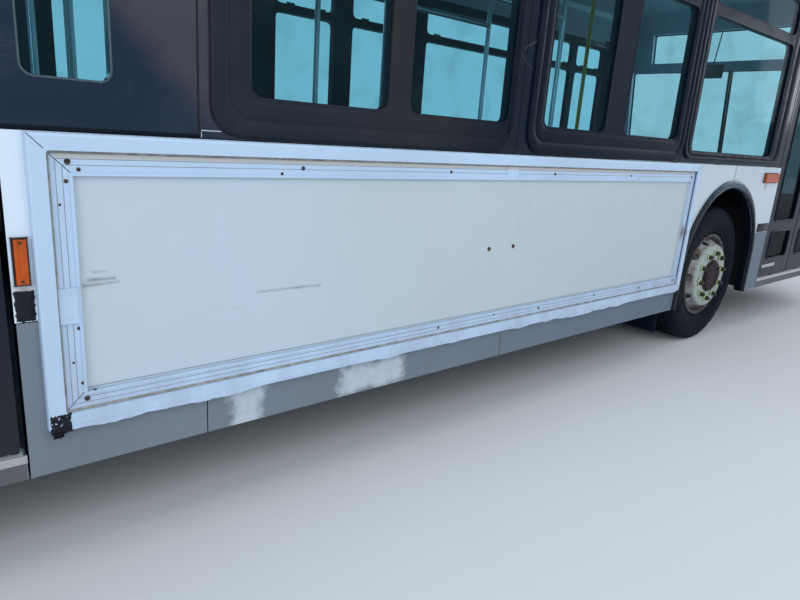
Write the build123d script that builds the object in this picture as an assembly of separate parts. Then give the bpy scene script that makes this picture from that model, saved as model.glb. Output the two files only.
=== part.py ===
from build123d import *
import os
from math import atan2, cos, degrees, pi, radians, sin

# City bus, twelve metres, low floor. Millimetres, +X forward, +Y to the street side, +Z up.
# The origin is on the ground under the middle of the bus.

# Driving dimensions
LENGTH = 12200
HALF_WIDTH = 1275
ROOF_Z = 2950
WALL = 55
FRONT_AXLE_X = 3350
REAR_AXLE_X = -2850
TYRE_R = 498
TYRE_WIDTH = 290
RIM_R = 286
TRACK_Y = 1080
DUAL_SPACING = 335
KINGPIN_Y = 880
BUMPER_PROUD = 42

# Levels of the side, from the ground up
SKIRT_BOTTOM_Z = 322
SILL_Z = 395
FLOOR_Z = 370
FLOOR_THICK = 30
PANEL_BOTTOM_Z = 790
BELT_Z = 1296
ROOF_SEAM_Z = 2540
SEAM = 3
REAR_FLOOR_Z = 750
ENGINE_DECK_Z = 1290
ENGINE_FRONT_X = -4900

# Ends of the straight sides
FRONT_POST_X = 5560
REAR_POST_X = -5760
END_X = LENGTH / 2 - BUMPER_PROUD

# Wheel arches: half width of the opening, the centres of its round and of the flare's round
ARCH_R = 560
ARCH_Z = 579
FLARE_R = 590
FLARE_Z = 602
FLARE_PROUD = 20
FLARE_BASE = 12
FLARE_EDGE = 6
HOUSE_TOP_Z = 1140
HOUSE_WALL_Y = 560
HOUSE_PLATE = 8
HOUSE_HALF = {FRONT_AXLE_X: 630, REAR_AXLE_X: 600}
SHEET_GAP = 1

# Advertising frame on each side: outer size, then the board inside it
AD_FRAME = dict(x0=-985, x1=2758, z0=465, z1=1292)
AD_BOARD = dict(x0=-879, x1=2674, z0=563, z1=1182)
AD_LIP = 45
AD_PROUD = 30
AD_STEP = 16
AD_BEAD = 8
AD_ROUND = 9
MITRE_GAP = 0.6
BOARD_THICK = 6

# Doorways in the kerb side
ENTRY = dict(x0=4190, x1=5510)
EXIT = dict(x0=-2240, x1=-1040)
DOOR_TOP_Z = 2320
JAMB_GAP = 16
LEAF_GAP = 16
LEAF_THICK = 35
LEAF_Y = -1250
LEAF_Z0 = 408
LEAF_Z1 = 2300
LEAF_STILE = 105
LEAF_PANES = ((552, 782), (866, 2215))
POST_R = 16
POST_BACK = 45
POST_Y = -1190
ARM_SHORT = 36
PIN_R = 9
PIN_GAP = 0.4

# Window tops and transoms, the same along both sides
WINDOW_TOP_Z = 2470
UPPER_PANE = (2212, 2430)
LOWER_PANE_TOP = 2150
GASKET_PROUD = 8
GASKET_LIP = 16
GASKET_ROUND = 96
GASKET_DEPTH = 40
RIDGE = (8, 22, 6)
PANE_ROUND = 42
GLASS_THICK = 6
REBATE = 8

# Each window: first x, last x, sill z, glass bottom z, then the x spans of its panes
KERB_WINDOWS = (
    (-5330, -3850, 1303, 1425, ((-5240, -4620), (-4520, -3930))),
    (-3790, -2310, 1320, 1425, ((-3700, -3080), (-2980, -2390))),
    (-490, 890, 1303, 1425, ((-360, 190), (290, 862))),
    (1004, 2488, 1303, 1425, ((1110, 1620), (1800, 2400))),
    (2500, 4060, 1320, 1369, ((2600, 3880),)),
)
STREET_WINDOWS = (
    (-5330, -3850, 1303, 1425, ((-5240, -4620), (-4520, -3930))),
    (-3790, -2310, 1320, 1425, ((-3700, -3080), (-2980, -2390))),
    (-2260, -940, 1303, 1425, ((-2170, -1630), (-1540, -1020))),
    (-490, 890, 1303, 1425, ((-360, 190), (290, 862))),
    (1004, 2488, 1303, 1425, ((1110, 1620), (1800, 2400))),
    (2500, 4060, 1320, 1369, ((2600, 3880),)),
    (4150, 5440, 1262, 1330, ((4240, 4760), (4850, 5360))),
)
SLIT_WINDOW = (-980, -760, 1424, 2400)
SLIT_ROUND = 34

# Skirt seams between doors and arches: first x, last x
KERB_SKIRTS = (
    (-5755, -2852), (-2848, -1043), (-1037, -512), (-508, 988), (992, 3348), (3352, 4187), (4193, 5557),
)
STREET_SKIRTS = (
    (-5755, -2852), (-2848, -1043), (-1037, -512), (-508, 988), (992, 3348), (3352, 5557),
)

# Roof hatches: first x, last x
HATCHES = (("front", 2500, 3120), ("rear", -3300, -2680))
HATCH_HALF = 300
HATCH_RISE = 60


def block(x0, x1, y0, y1, z0, z1):
    """A block between two corners."""
    return Pos((x0 + x1) / 2, (y0 + y1) / 2, (z0 + z1) / 2) * Box(x1 - x0, y1 - y0, z1 - z0)


def rounded(x0, x1, y0, y1, z0, z1, r):
    """A block whose four edges across the wall are rounded."""
    shape = block(x0, x1, y0, y1, z0, z1)
    return fillet(shape.edges().filter_by(Axis.Y), r)


def rod(start, end, r):
    """A round bar from one point to another."""
    run = Vector(*end) - Vector(*start)
    plane = Plane(origin=start, z_dir=run)
    return extrude(plane * Circle(r), run.length)


def disc_y(x, y0, y1, z, r):
    """A cylinder along the axle line, from y0 to y1."""
    return rod((x, min(y0, y1), z), (x, max(y0, y1), z), r)


def flipped(shape):
    """The same shape on the street side."""
    return mirror(shape, Plane.XZ)


def both(shapes):
    """Shapes of the kerb side with their twins on the street side."""
    return list(shapes) + [flipped(s) for s in shapes]


def solids_of(items):
    found = []
    for item in items:
        found.extend(item.solids())
    return found


def save(name, items):
    solids = solids_of(items if isinstance(items, (list, tuple)) else [items])
    shape = solids[0] if len(solids) == 1 else Compound(solids)
    shape.label = name
    export_step(shape, f"parts/{name}.step")


# Outline of the body from the side and across: corner points with the radius of each corner
FRONT_ROUND = 220
REAR_ROUND = 120
RAKE_Z = 1150
RAKE_TOP_Z = 2640
RAKE_BACK = 190
SIDE_OUTLINE = (
    (-END_X, 200, 0), (END_X, 200, 0), (END_X, RAKE_Z, 900), (END_X - RAKE_BACK, RAKE_TOP_Z, 300),
    (END_X - 420, ROOF_Z, 0), (-END_X, ROOF_Z, 0),
)
CROSS_OUTLINE = (
    (-HALF_WIDTH, 200, 0), (HALF_WIDTH, 200, 0), (HALF_WIDTH, 2690, 240), (1000, 2895, 240),
    (0, ROOF_Z, 3000), (-1000, 2895, 240), (-HALF_WIDTH, 2690, 240),
)


def inset_corners(points, inset):
    """The corners of an outline moved in by an inset, each radius cut by as much."""
    moved = []
    for i, (a, b, r) in enumerate(points):
        corner = Vector(a, b)
        before = (corner - Vector(*points[i - 1][:2])).normalized()
        after = (Vector(*points[(i + 1) % len(points)][:2]) - corner).normalized()
        inward = Vector(-before.Y - after.Y, before.X + after.X)
        corner += inward * (inset / (1 + before.dot(after)))
        moved.append((corner.X, corner.Y, max(r - inset, 0) if r else 0))
    return moved


def outline_face(points, inset):
    corners = inset_corners(points, inset)
    line = FilletPolyline(*[(a, b) for a, b, r in corners], radius=[r for a, b, r in corners], close=True)
    return make_face(line)


def envelope(inset):
    """The body's outer form, drawn in by an inset: the section run lengthwise, its ends rounded."""
    side = extrude(Plane.XZ * outline_face(SIDE_OUTLINE, inset), 2000, both=True)
    cross = extrude(Plane.YZ * outline_face(CROSS_OUTLINE, inset), 7000, both=True)
    body = (side & cross).solids()[0]
    rim_z = 250 + inset
    rear = [e for e in body.edges() if abs(e.center().X + END_X - inset) < 1 and e.center().Z > rim_z]
    body = body.fillet(REAR_ROUND - inset, rear)
    front = [e for e in body.edges()
             if e.center().X > END_X - 480 and e.center().Z > rim_z and abs(e.center().Y) > 1]
    return body.fillet(FRONT_ROUND - inset, front)


def body_shell():
    shell = envelope(0) - envelope(WALL)
    return shell & block(-7000, 7000, -2000, 2000, SKIRT_BOTTOM_Z, 4000)


def arch_shape(x, r, z, y0, y1):
    """A wheel opening: a half round on straight sides, from y0 to y1."""
    return disc_y(x, y0, y1, z, r) + block(x - r, x + r, min(y0, y1), max(y0, y1), 0, z)


def arches(r, z, y0, y1):
    return [arch_shape(x, r, z, y0, y1) for x in (FRONT_AXLE_X, REAR_AXLE_X)]


def doorways():
    """The two openings in the kerb side, from the sill to the lintel."""
    return [block(d["x0"], d["x1"], -1400, -1150, SILL_Z, DOOR_TOP_Z) for d in (ENTRY, EXIT)]


def exit_pivots():
    """Pivot points of the exit door's leaves, with the way each leaf reaches along x."""
    inset = JAMB_GAP + 12
    return ((EXIT["x1"] - inset, -1), (EXIT["x0"] + inset, 1))


def exit_pin_bores():
    bores = []
    for x, way in exit_pivots():
        bores.append(rod((x, LEAF_Y, SILL_Z - 22), (x, LEAF_Y, SILL_Z + 5), PIN_R + PIN_GAP))
        bores.append(rod((x, LEAF_Y, DOOR_TOP_Z - 5), (x, LEAF_Y, DOOR_TOP_Z + 22), PIN_R + PIN_GAP))
    return bores


def window_holes(windows, y0, y1):
    lip = GASKET_LIP
    return [rounded(x0 + lip, x1 - lip, y0, y1, z0 + lip, WINDOW_TOP_Z - lip, GASKET_ROUND - lip)
            for x0, x1, z0, glass_z, panes in windows]


def make_sides(shell):
    """Wall bands between roof seam, belt and skirts, both sides."""
    kerb_cuts = doorways() + arches(ARCH_R, ARCH_Z, -1400, -1150) + exit_pin_bores()
    street_cuts = arches(ARCH_R, ARCH_Z, 1150, 1400)
    band = []
    panel = []
    skirt = []
    for way, cuts, windows, spans in (
        (-1, kerb_cuts, KERB_WINDOWS, KERB_SKIRTS),
        (1, street_cuts, STREET_WINDOWS, STREET_SKIRTS),
    ):
        y0, y1 = (-1400, -1150) if way < 0 else (1150, 1400)
        upper = shell & block(REAR_POST_X, FRONT_POST_X, y0, y1, BELT_Z, ROOF_SEAM_Z - SEAM)
        holes = window_holes(windows, y0, y1)
        if way < 0:
            x0, x1, z0, z1 = SLIT_WINDOW
            holes.append(rounded(x0, x1, y0, y1, z0, z1, SLIT_ROUND))
        band.append(upper - (cuts + holes))
        middle = shell & block(REAR_POST_X, FRONT_POST_X, y0, y1, PANEL_BOTTOM_Z, BELT_Z - SEAM)
        panel.append(middle - (cuts + [holes[-1]] if way > 0 else cuts))
        for x0, x1 in spans:
            strip = shell & block(x0, x1, y0, y1, SKIRT_BOTTOM_Z, PANEL_BOTTOM_Z - SEAM)
            skirt.append(strip - cuts)
    save("window_bands", band)
    save("side_panels", panel)
    save("skirts", skirt)


def flare_ring(x, outer_cut, inner_add, proud):
    """One layer of a flare: an arch-shaped ring, narrowed from both its edges."""
    y0, y1 = -HALF_WIDTH - proud, -HALF_WIDTH
    ring = arch_shape(x, FLARE_R - outer_cut, FLARE_Z, y0, y1)
    ring -= arch_shape(x, ARCH_R + inner_add, ARCH_Z, y0 - 10, y1 + 10)
    return ring & block(x - 700, x + 700, -1400, -1200, SKIRT_BOTTOM_Z, 1300)


def make_flares():
    """Rubber mouldings round the wheel openings: a flat base with a thick bead along its middle."""
    flares = [flare_ring(x, 0, 0, FLARE_BASE) + flare_ring(x, FLARE_EDGE, FLARE_EDGE, FLARE_PROUD)
              for x in (FRONT_AXLE_X, REAR_AXLE_X)]
    save("arch_flares", both(flares))


def mitre_cut(corner, inner):
    """A thin slab along the joint from a frame's outer corner to its board's corner."""
    run = (inner[0] - corner[0], inner[1] - corner[1])
    slab = Box(400, 2 * HALF_WIDTH, MITRE_GAP)
    turned = Rot(0, -degrees(atan2(run[1], run[0])), 0) * slab
    return Pos(corner[0] + run[0] / 2, 0, corner[1] + run[1] / 2) * turned


def make_ad_frames():
    """Stepped moulding round each side's advertising board: four mitred rails."""
    f = AD_FRAME
    b = AD_BOARD
    face_y = -HALF_WIDTH
    front_y = face_y - AD_PROUD
    lip = AD_LIP
    bead = AD_BEAD
    outer = block(f["x0"], f["x1"], front_y, face_y, f["z0"], f["z1"])
    outer = fillet(outer.faces().sort_by(Axis.Y)[0].edges(), AD_ROUND)
    recess = block(f["x0"] + lip, f["x1"] - lip, front_y - 1, face_y - AD_STEP, f["z0"] + lip, f["z1"] - lip)
    recess = fillet(recess.edges().filter_by(Axis.Y), AD_ROUND)
    rails = outer - recess
    rails += block(b["x0"] - bead, b["x1"] + bead, face_y - AD_STEP - 4, face_y - AD_STEP,
                   b["z0"] - bead, b["z1"] + bead)
    rails -= block(b["x0"], b["x1"], front_y - 1, face_y + 1, b["z0"], b["z1"])
    for side_x in ("x0", "x1"):
        for side_z in ("z0", "z1"):
            rails -= mitre_cut((f[side_x], f[side_z]), (b[side_x], b[side_z]))
    save("ad_frames", both([rails]))
    board = block(b["x0"] + SHEET_GAP, b["x1"] - SHEET_GAP, face_y - BOARD_THICK, face_y,
                  b["z0"] + SHEET_GAP, b["z1"] - SHEET_GAP)
    save("ad_boards", both([board]))


def window_pieces(x0, x1, z0, glass_z, panes):
    """One kerb-side window: its ridged gasket and bars in one frame, and its panes."""
    face_y = -HALF_WIDTH
    out_y = face_y - GASKET_PROUD
    lip = GASKET_LIP
    top_z = WINDOW_TOP_Z
    frame = rounded(x0, x1, out_y, face_y, z0, top_z, GASKET_ROUND)
    a, b, proud = RIDGE
    ridge = rounded(x0 + a, x1 - a, out_y - proud, out_y, z0 + a, top_z - a, GASKET_ROUND - a)
    ridge -= rounded(x0 + b, x1 - b, out_y - proud - 1, out_y + 1, z0 + b, top_z - b, GASKET_ROUND - b)
    frame += ridge
    frame += rounded(x0 + lip, x1 - lip, face_y, face_y + GASKET_DEPTH, z0 + lip, top_z - lip,
                     GASKET_ROUND - lip)
    glass = []
    for a, b in panes:
        for low, high in ((glass_z, LOWER_PANE_TOP), UPPER_PANE):
            frame -= rounded(a, b, face_y - 30, face_y + 60, low, high, PANE_ROUND)
            pane = rounded(a - REBATE, b + REBATE, face_y + 4, face_y + 4 + GLASS_THICK,
                           low - REBATE, high + REBATE, PANE_ROUND + REBATE)
            frame -= pane
            glass.append(pane)
    return frame, glass


def make_windows():
    frames = []
    panes = []
    for window in KERB_WINDOWS:
        frame, glass = window_pieces(*window)
        frames.append(frame)
        panes += glass
    for window in STREET_WINDOWS:
        frame, glass = window_pieces(*window)
        frames.append(flipped(frame))
        panes += [flipped(g) for g in glass]
    x0, x1, z0, z1 = SLIT_WINDOW
    panes.append(rounded(x0, x1, -HALF_WIDTH, -HALF_WIDTH + GLASS_THICK, z0, z1, SLIT_ROUND + 4))
    save("window_frames", frames)
    save("side_glass", panes)


def make_roof(shell):
    roof = shell & block(REAR_POST_X, FRONT_POST_X, -2000, 2000, ROOF_SEAM_Z, 4000)
    for name, x0, x1 in HATCHES:
        roof += block(x0 - 12, x1 + 12, -HATCH_HALF - 12, HATCH_HALF + 12, 2900, ROOF_Z)
        roof -= block(x0, x1, -HATCH_HALF, HATCH_HALF, 2700, 3000)
    save("roof", roof)
    for name, x0, x1 in HATCHES:
        lid = block(x0 - 20, x1 + 20, -HATCH_HALF - 20, HATCH_HALF + 20, ROOF_Z + 6, ROOF_Z + HATCH_RISE)
        lid = chamfer(lid.edges().group_by(Axis.Z)[-1], 24)
        lid -= block(x0 + 14, x1 - 14, -HATCH_HALF + 14, HATCH_HALF - 14, ROOF_Z, ROOF_Z + HATCH_RISE - 12)
        pin = rod((x1 + 20, -HATCH_HALF + 40, ROOF_Z + 22), (x1 + 20, HATCH_HALF - 40, ROOF_Z + 22), 8)
        save(f"roof_hatch_{name}", lid + pin)


WINDSCREEN = dict(y=1120, z0=1010, z1=2240)
SIGN = dict(y=900, z0=2330, z1=2640)
REAR_WINDOW = dict(y=760, z0=1560, z1=2250)
ENGINE_DOOR = dict(y=820, z0=660, z1=1400)


HEADLAMPS_Y = (-900, 900, -690, 690)
HEADLAMP_Z = 800
HEADLAMP_R = 92
BEZEL_R = 118
BEZEL_DEPTH = 8
FLAP_HALF = 500
FLAP_LEVELS = (690, 950)


def bezel_outline(way):
    """The rounded outline round one side's two headlamps, run through the front."""
    near, far = sorted(way * y for y in (690, 900))
    slot = block(5900, 6300, near, far, HEADLAMP_Z - BEZEL_R, HEADLAMP_Z + BEZEL_R)
    return slot + disc_x(5900, 6300, near, HEADLAMP_Z, BEZEL_R) + disc_x(5900, 6300, far, HEADLAMP_Z, BEZEL_R)


def opening_x(x0, x1, spec):
    return block(x0, x1, -spec["y"], spec["y"], spec["z0"], spec["z1"])


def make_ends(shell):
    """Front mask, rear cap, their glass and the engine door."""
    front = shell & block(FRONT_POST_X + SEAM, 7000, -2000, 2000, 0, 4000)
    screen = opening_x(5700, 7000, WINDSCREEN)
    sign = opening_x(5700, 7000, SIGN)
    lamp_holes = [disc_x(5900, 6300, y, HEADLAMP_Z, HEADLAMP_R) for y in HEADLAMPS_Y]
    skin = envelope(0) - envelope(BEZEL_DEPTH)
    bezels = [skin & bezel_outline(way) for way in (-1, 1)]
    flap = block(5900, 7000, -FLAP_HALF, FLAP_HALF, *FLAP_LEVELS)
    inner = block(5800, 7100, -FLAP_HALF + 5, FLAP_HALF - 5, FLAP_LEVELS[0] + 5, FLAP_LEVELS[1] - 5)
    save("front_mask", front - ([screen, sign] + lamp_holes + bezels + [skin & (flap - inner)]))
    rear = shell & block(-7000, REAR_POST_X - SEAM, -2000, 2000, 0, 4000)
    rear_window = opening_x(-7000, -5900, REAR_WINDOW)
    door_hole = opening_x(-7000, -5900, ENGINE_DOOR)
    save("rear_cap", rear - [rear_window, door_hole])
    skin = envelope(12) - envelope(12 + GLASS_THICK)
    half = WINDSCREEN["y"]
    panes = [skin & block(5700, 7000, a, b, WINDSCREEN["z0"], WINDSCREEN["z1"])
             for a, b in ((-half, -12), (12, half))]
    panes.append(skin & sign)
    panes.append(skin & rear_window)
    save("end_glass", panes)
    pillar = (envelope(4) - envelope(40)) & block(5700, 7000, -12, 12, WINDSCREEN["z0"], WINDSCREEN["z1"])
    save("screen_pillar", pillar)
    d = ENGINE_DOOR
    gap = 8
    leaf = shell & block(-7000, -5900, -d["y"] + gap, d["y"] - gap, d["z0"] + gap, d["z1"] - gap)
    levels = [760 + row * 62 for row in range(7)]
    leaf -= [block(-7000, -5900, -560, 560, z, z + 30) for z in levels]
    for z in levels:
        leaf += block(-END_X + 3, -END_X + 21, -565, 565, z + 11, z + 17)
    for y in (-500, 500):
        leaf += block(-END_X - 12, -END_X, y - 60, y + 60, d["z1"] - 70, d["z1"])
        leaf += rod((-END_X - 10, y - 60, d["z1"]), (-END_X - 10, y + 60, d["z1"]), 6)
    save("engine_door", leaf)


def disc_x(x0, x1, y, z, r):
    return rod((x0, y, z), (x1, y, z), r)


def make_bumpers():
    grown = envelope(-BUMPER_PROUD) - envelope(0)
    front = grown & block(5640, 7000, -2000, 2000, SKIRT_BOTTOM_Z + 8, 640)
    rear = grown & block(-7000, -5860, -2000, 2000, SKIRT_BOTTOM_Z + 8, 540)
    save("bumpers", [front, rear])


def make_lamps():
    clear = []
    lens_skin = envelope(6) - envelope(30)
    for y in HEADLAMPS_Y:
        clear.append(lens_skin & disc_x(5900, 6300, y, HEADLAMP_Z, HEADLAMP_R))
    save("lamps_clear", clear)
    amber = [
        block(-1028, -999, -HALF_WIDTH - 14, -HALF_WIDTH, 897, 1017),
        block(3885, 4127, -HALF_WIDTH - 22, -HALF_WIDTH, 1182, 1246),
    ]
    amber = both(amber)
    lamp_skin = envelope(-16) - envelope(0)
    for y in (-1, 1):
        amber.append(lamp_skin & disc_x(5600, 6300, y * 1090, 800, 62))
        amber.append(lamp_skin & disc_x(-6300, -5900, y * 1000, 1420, 75))
    for y in (-520, 0, 520):
        amber.append(lamp_skin & block(5400, 6300, y - 45, y + 45, 2740, 2775))
    save("lamps_amber", amber)
    red = []
    for y in (-1, 1):
        red.append(lamp_skin & disc_x(-6300, -5900, y * 1000, 1220, 75))
        red.append(lamp_skin & disc_x(-6300, -5900, y * 1000, 1020, 75))
    for y in (-520, 0, 520):
        red.append(lamp_skin & block(-6300, -5800, y - 45, y + 45, 2600, 2635))
    save("lamps_red", red)


def make_mirrors():
    """An arm from each front post with a tall mirror head hung from it."""
    x = 5980
    root = (5800, -1240, 2300)
    arm = rod(root, (x, -1400, 2330), 14) + rod((x, -1400, 2345), (x, -1400, 1700), 14)
    head = block(x - 40, x + 40, -1520, -1290, 1660, 2080)
    head = fillet(head.edges().filter_by(Axis.X), 40)
    base = block(5760, 5840, -1300, -1200, 2250, 2350)
    save("mirrors", both([(arm + head + base) - envelope(0)]))


def make_wipers():
    wipers = []
    lift = 18
    for y in (-560, 560):
        low_x = front_x(960) + lift
        arm = rod((low_x, y, 960), (front_x(1560) + lift, y - 40, 1560), 8)
        pivot = disc_x(low_x - 60, low_x + 12, y, 960, 22) - envelope(0)
        blade = rod((front_x(1200) + lift, y - 60, 1200), (front_x(1900) + lift, y - 20, 1900), 9)
        wipers.append(arm + pivot + blade)
    save("wipers", wipers)


def front_x(z):
    """How far forward the front's skin lies at a level, within a few millimetres."""
    return END_X - RAKE_BACK * max(0, z - RAKE_Z) / (RAKE_TOP_Z - RAKE_Z)


def leaf_blank(x0, x1):
    """A door leaf between two x, with its panes cut, and its glass."""
    leaf = block(x0, x1, LEAF_Y - LEAF_THICK / 2, LEAF_Y + LEAF_THICK / 2, LEAF_Z0, LEAF_Z1)
    glass = []
    for z0, z1 in LEAF_PANES:
        hole = block(x0 + LEAF_STILE, x1 - LEAF_STILE, LEAF_Y - 40, LEAF_Y + 40, z0, z1)
        hole = fillet(hole.edges().filter_by(Axis.Y), 45)
        leaf -= hole
        pane = block(x0 + LEAF_STILE - REBATE, x1 - LEAF_STILE + REBATE, LEAF_Y - 6, LEAF_Y,
                     z0 - REBATE, z1 + REBATE)
        leaf -= pane
        glass.append(pane)
    return leaf, glass


def make_entry_door():
    """Two leaves carried at their middles by arms on turning posts behind the jambs."""
    middle = (ENTRY["x0"] + ENTRY["x1"]) / 2
    for name, way, jamb in (("rear", 1, ENTRY["x0"]), ("front", -1, ENTRY["x1"])):
        edge = jamb + way * JAMB_GAP
        far = middle - way * LEAF_GAP / 2
        leaf, glass = leaf_blank(min(edge, far), max(edge, far))
        post_x = edge - way * POST_BACK
        pin_x = post_x + way * arm_length()
        for plate_z, pin_z0, pin_z1 in ((LEAF_Z0 - 10, 379, LEAF_Z0), (LEAF_Z1, LEAF_Z1, 2334)):
            leaf += block(pin_x - 30, pin_x + 30, LEAF_Y - 10, POST_Y + 20, plate_z, plate_z + 10)
            leaf += rod((pin_x, POST_Y, pin_z0), (pin_x, POST_Y, pin_z1), PIN_R)
        save(f"entry_leaf_{name}", leaf)
        save(f"entry_glass_{name}", glass)
        arm = rod((post_x, POST_Y, 378), (post_x, POST_Y, 2336), POST_R)
        for z0, z1 in ((378, 392), (2316, 2336)):
            arm += block(min(post_x, pin_x), max(post_x, pin_x), POST_Y - 16, POST_Y + 16, z0, z1)
            arm += rod((pin_x, POST_Y, z0), (pin_x, POST_Y, z1), 20)
            arm -= rod((pin_x, POST_Y, z0 - 5), (pin_x, POST_Y, z1 + 5), PIN_R + PIN_GAP)
        save(f"entry_arm_{name}", arm)


def arm_length():
    """Half of the way from a post to the point that runs along the doorway."""
    middle = (ENTRY["x0"] + ENTRY["x1"]) / 2
    post_x = ENTRY["x0"] + JAMB_GAP - POST_BACK
    return (middle - LEAF_GAP / 2 + ARM_SHORT - post_x) / 2


def make_exit_door():
    middle = (EXIT["x0"] + EXIT["x1"]) / 2
    for (x, way), name in zip(exit_pivots(), ("front", "rear")):
        edge = x - way * 12
        far = middle - way * LEAF_GAP / 2
        leaf, glass = leaf_blank(min(edge, far), max(edge, far))
        leaf += rod((x, LEAF_Y, SILL_Z - 14), (x, LEAF_Y, LEAF_Z0), PIN_R)
        leaf += rod((x, LEAF_Y, LEAF_Z1), (x, LEAF_Y, DOOR_TOP_Z + 14), PIN_R)
        save(f"exit_leaf_{name}", leaf)
        save(f"exit_glass_{name}", glass)


RAIL_Y = 450
RAIL_HALF = 40
LOW_MEMBERS = (5600, 5000, 4200, 2500, 1600, 700, -200, -1100, -2000)
HIGH_MEMBERS = ((-4300, 1215), (-3600, 1215), (-5865, 1120))
JACK_POINTS = (5000, 2500, -2000)
EYE_Z = 295
TAILPIPE_Z = 252
TAILPIPE_R = 38
EYE_R = 22


def outrigger(x, half, z0, z1):
    """A bracket from a rail out to the wall, deeper at the rail."""
    with BuildPart() as part:
        with BuildSketch(Plane.YZ.offset(x - 35)):
            y0 = RAIL_Y + RAIL_HALF + SHEET_GAP
            Polygon((y0, z0), (half, (z0 + z1) / 2), (half, z1), (y0, z1), align=None)
        extrude(amount=70)
    return part.part


def tow_eye(x0, x1, z1, eye_x):
    """A plate under the right rail's end with a hole for a shackle's pin."""
    plate = block(x0, x1, -RAIL_Y - 14, -RAIL_Y + 14, EYE_Z - RAIL_HALF, z1)
    return plate - rod((eye_x, -RAIL_Y - 40, EYE_Z), (eye_x, -RAIL_Y + 40, EYE_Z), EYE_R)


def hung_cylinder(x0, x1, y, z, r):
    """A closed cylinder under the rear floor with two straps up to it."""
    shape = rod((x0, y, z), (x1, y, z), r)
    for x in (x0 + 90, x1 - 90):
        shape += block(x - 20, x + 20, y - 22, y + 22, z + r - 12, REAR_FLOOR_Z - FLOOR_THICK)
    return shape


def make_underframe():
    """Rails low between the axles and high behind, cross-members, tanks and the muffler with its pipe."""
    gap = SHEET_GAP
    under = FLOOR_Z - FLOOR_THICK
    under_rear = REAR_FLOOR_Z - FLOOR_THICK
    frame = []
    for y in (-RAIL_Y, RAIL_Y):
        y0, y1 = y - RAIL_HALF, y + RAIL_HALF
        frame.append(block(-2690, 5880, y0, y1, 275, under))
        frame.append(block(-2690, -2610, y0, y1, under + gap, 620 - gap))
        frame.append(block(-5900, -2610, y0, y1, 620, under_rear))
        for x in JACK_POINTS:
            frame.append(block(x - 90, x + 90, y - 60, y + 60, 255, 275 - gap))
        frame.append(block(-4390, -4210, y - 60, y + 60, 600, 620 - gap))
    inside = RAIL_Y - RAIL_HALF - gap
    for x in LOW_MEMBERS:
        frame.append(block(x - 35, x + 35, -inside, inside, 285, under))
        frame += both([flipped(outrigger(x, 1215, 285, under))])
    for x, half in HIGH_MEMBERS:
        frame.append(block(x - 35, x + 35, -inside, inside, 640, under_rear))
        frame += both([flipped(outrigger(x, half, 640, under_rear))])
    frame.append(tow_eye(5880 + gap, 5980, 335, 5940))
    frame.append(tow_eye(-5990, -5900 - gap, 700, -5950))
    tank = block(-4180, -3640, 560, 1180, 330, under_rear)
    frame.append(fillet(tank.edges().filter_by(Axis.Y).group_by(Axis.Z)[0], 70))
    muffler = hung_cylinder(-5700, -5000, 800, 510, 115)
    down_x = -5600
    muffler += rod((down_x, 800, 430), (down_x, 800, TAILPIPE_Z - TAILPIPE_R - 4), TAILPIPE_R + 9)
    muffler += rod((down_x, 800, TAILPIPE_Z), (-5905, 800, TAILPIPE_Z), TAILPIPE_R)
    frame.append(muffler)
    frame.append(hung_cylinder(-5500, -4500, -760, 530, 95))
    save("underframe", frame)


def house_plates(x, low_z):
    """The kerb side's wheel house over one axle: inner wall, two ends and the top, in plates."""
    inner_y = HALF_WIDTH - WALL
    half = HOUSE_HALF[x]
    out = half + HOUSE_PLATE
    wall_y = HOUSE_WALL_Y
    gap = SHEET_GAP
    rear_z = low_z if x == FRONT_AXLE_X else REAR_FLOOR_Z - FLOOR_THICK
    top_z = HOUSE_TOP_Z
    plates = [
        block(x - out, x - half, -inner_y, -wall_y - gap, rear_z, top_z - gap),
        block(x + half, x + out, -inner_y, -wall_y - gap, low_z, top_z - gap),
        block(x - out, x + out, -inner_y, -wall_y - gap, top_z, top_z + HOUSE_PLATE),
    ]
    split_x = x - out if x == FRONT_AXLE_X else -2600
    plates.append(block(split_x, x + out, -wall_y, -wall_y + HOUSE_PLATE, low_z, top_z + HOUSE_PLATE))
    if split_x > x - out:
        plates.append(block(x - out, split_x - gap, -wall_y, -wall_y + HOUSE_PLATE, rear_z,
                            top_z + HOUSE_PLATE))
    return plates


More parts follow.
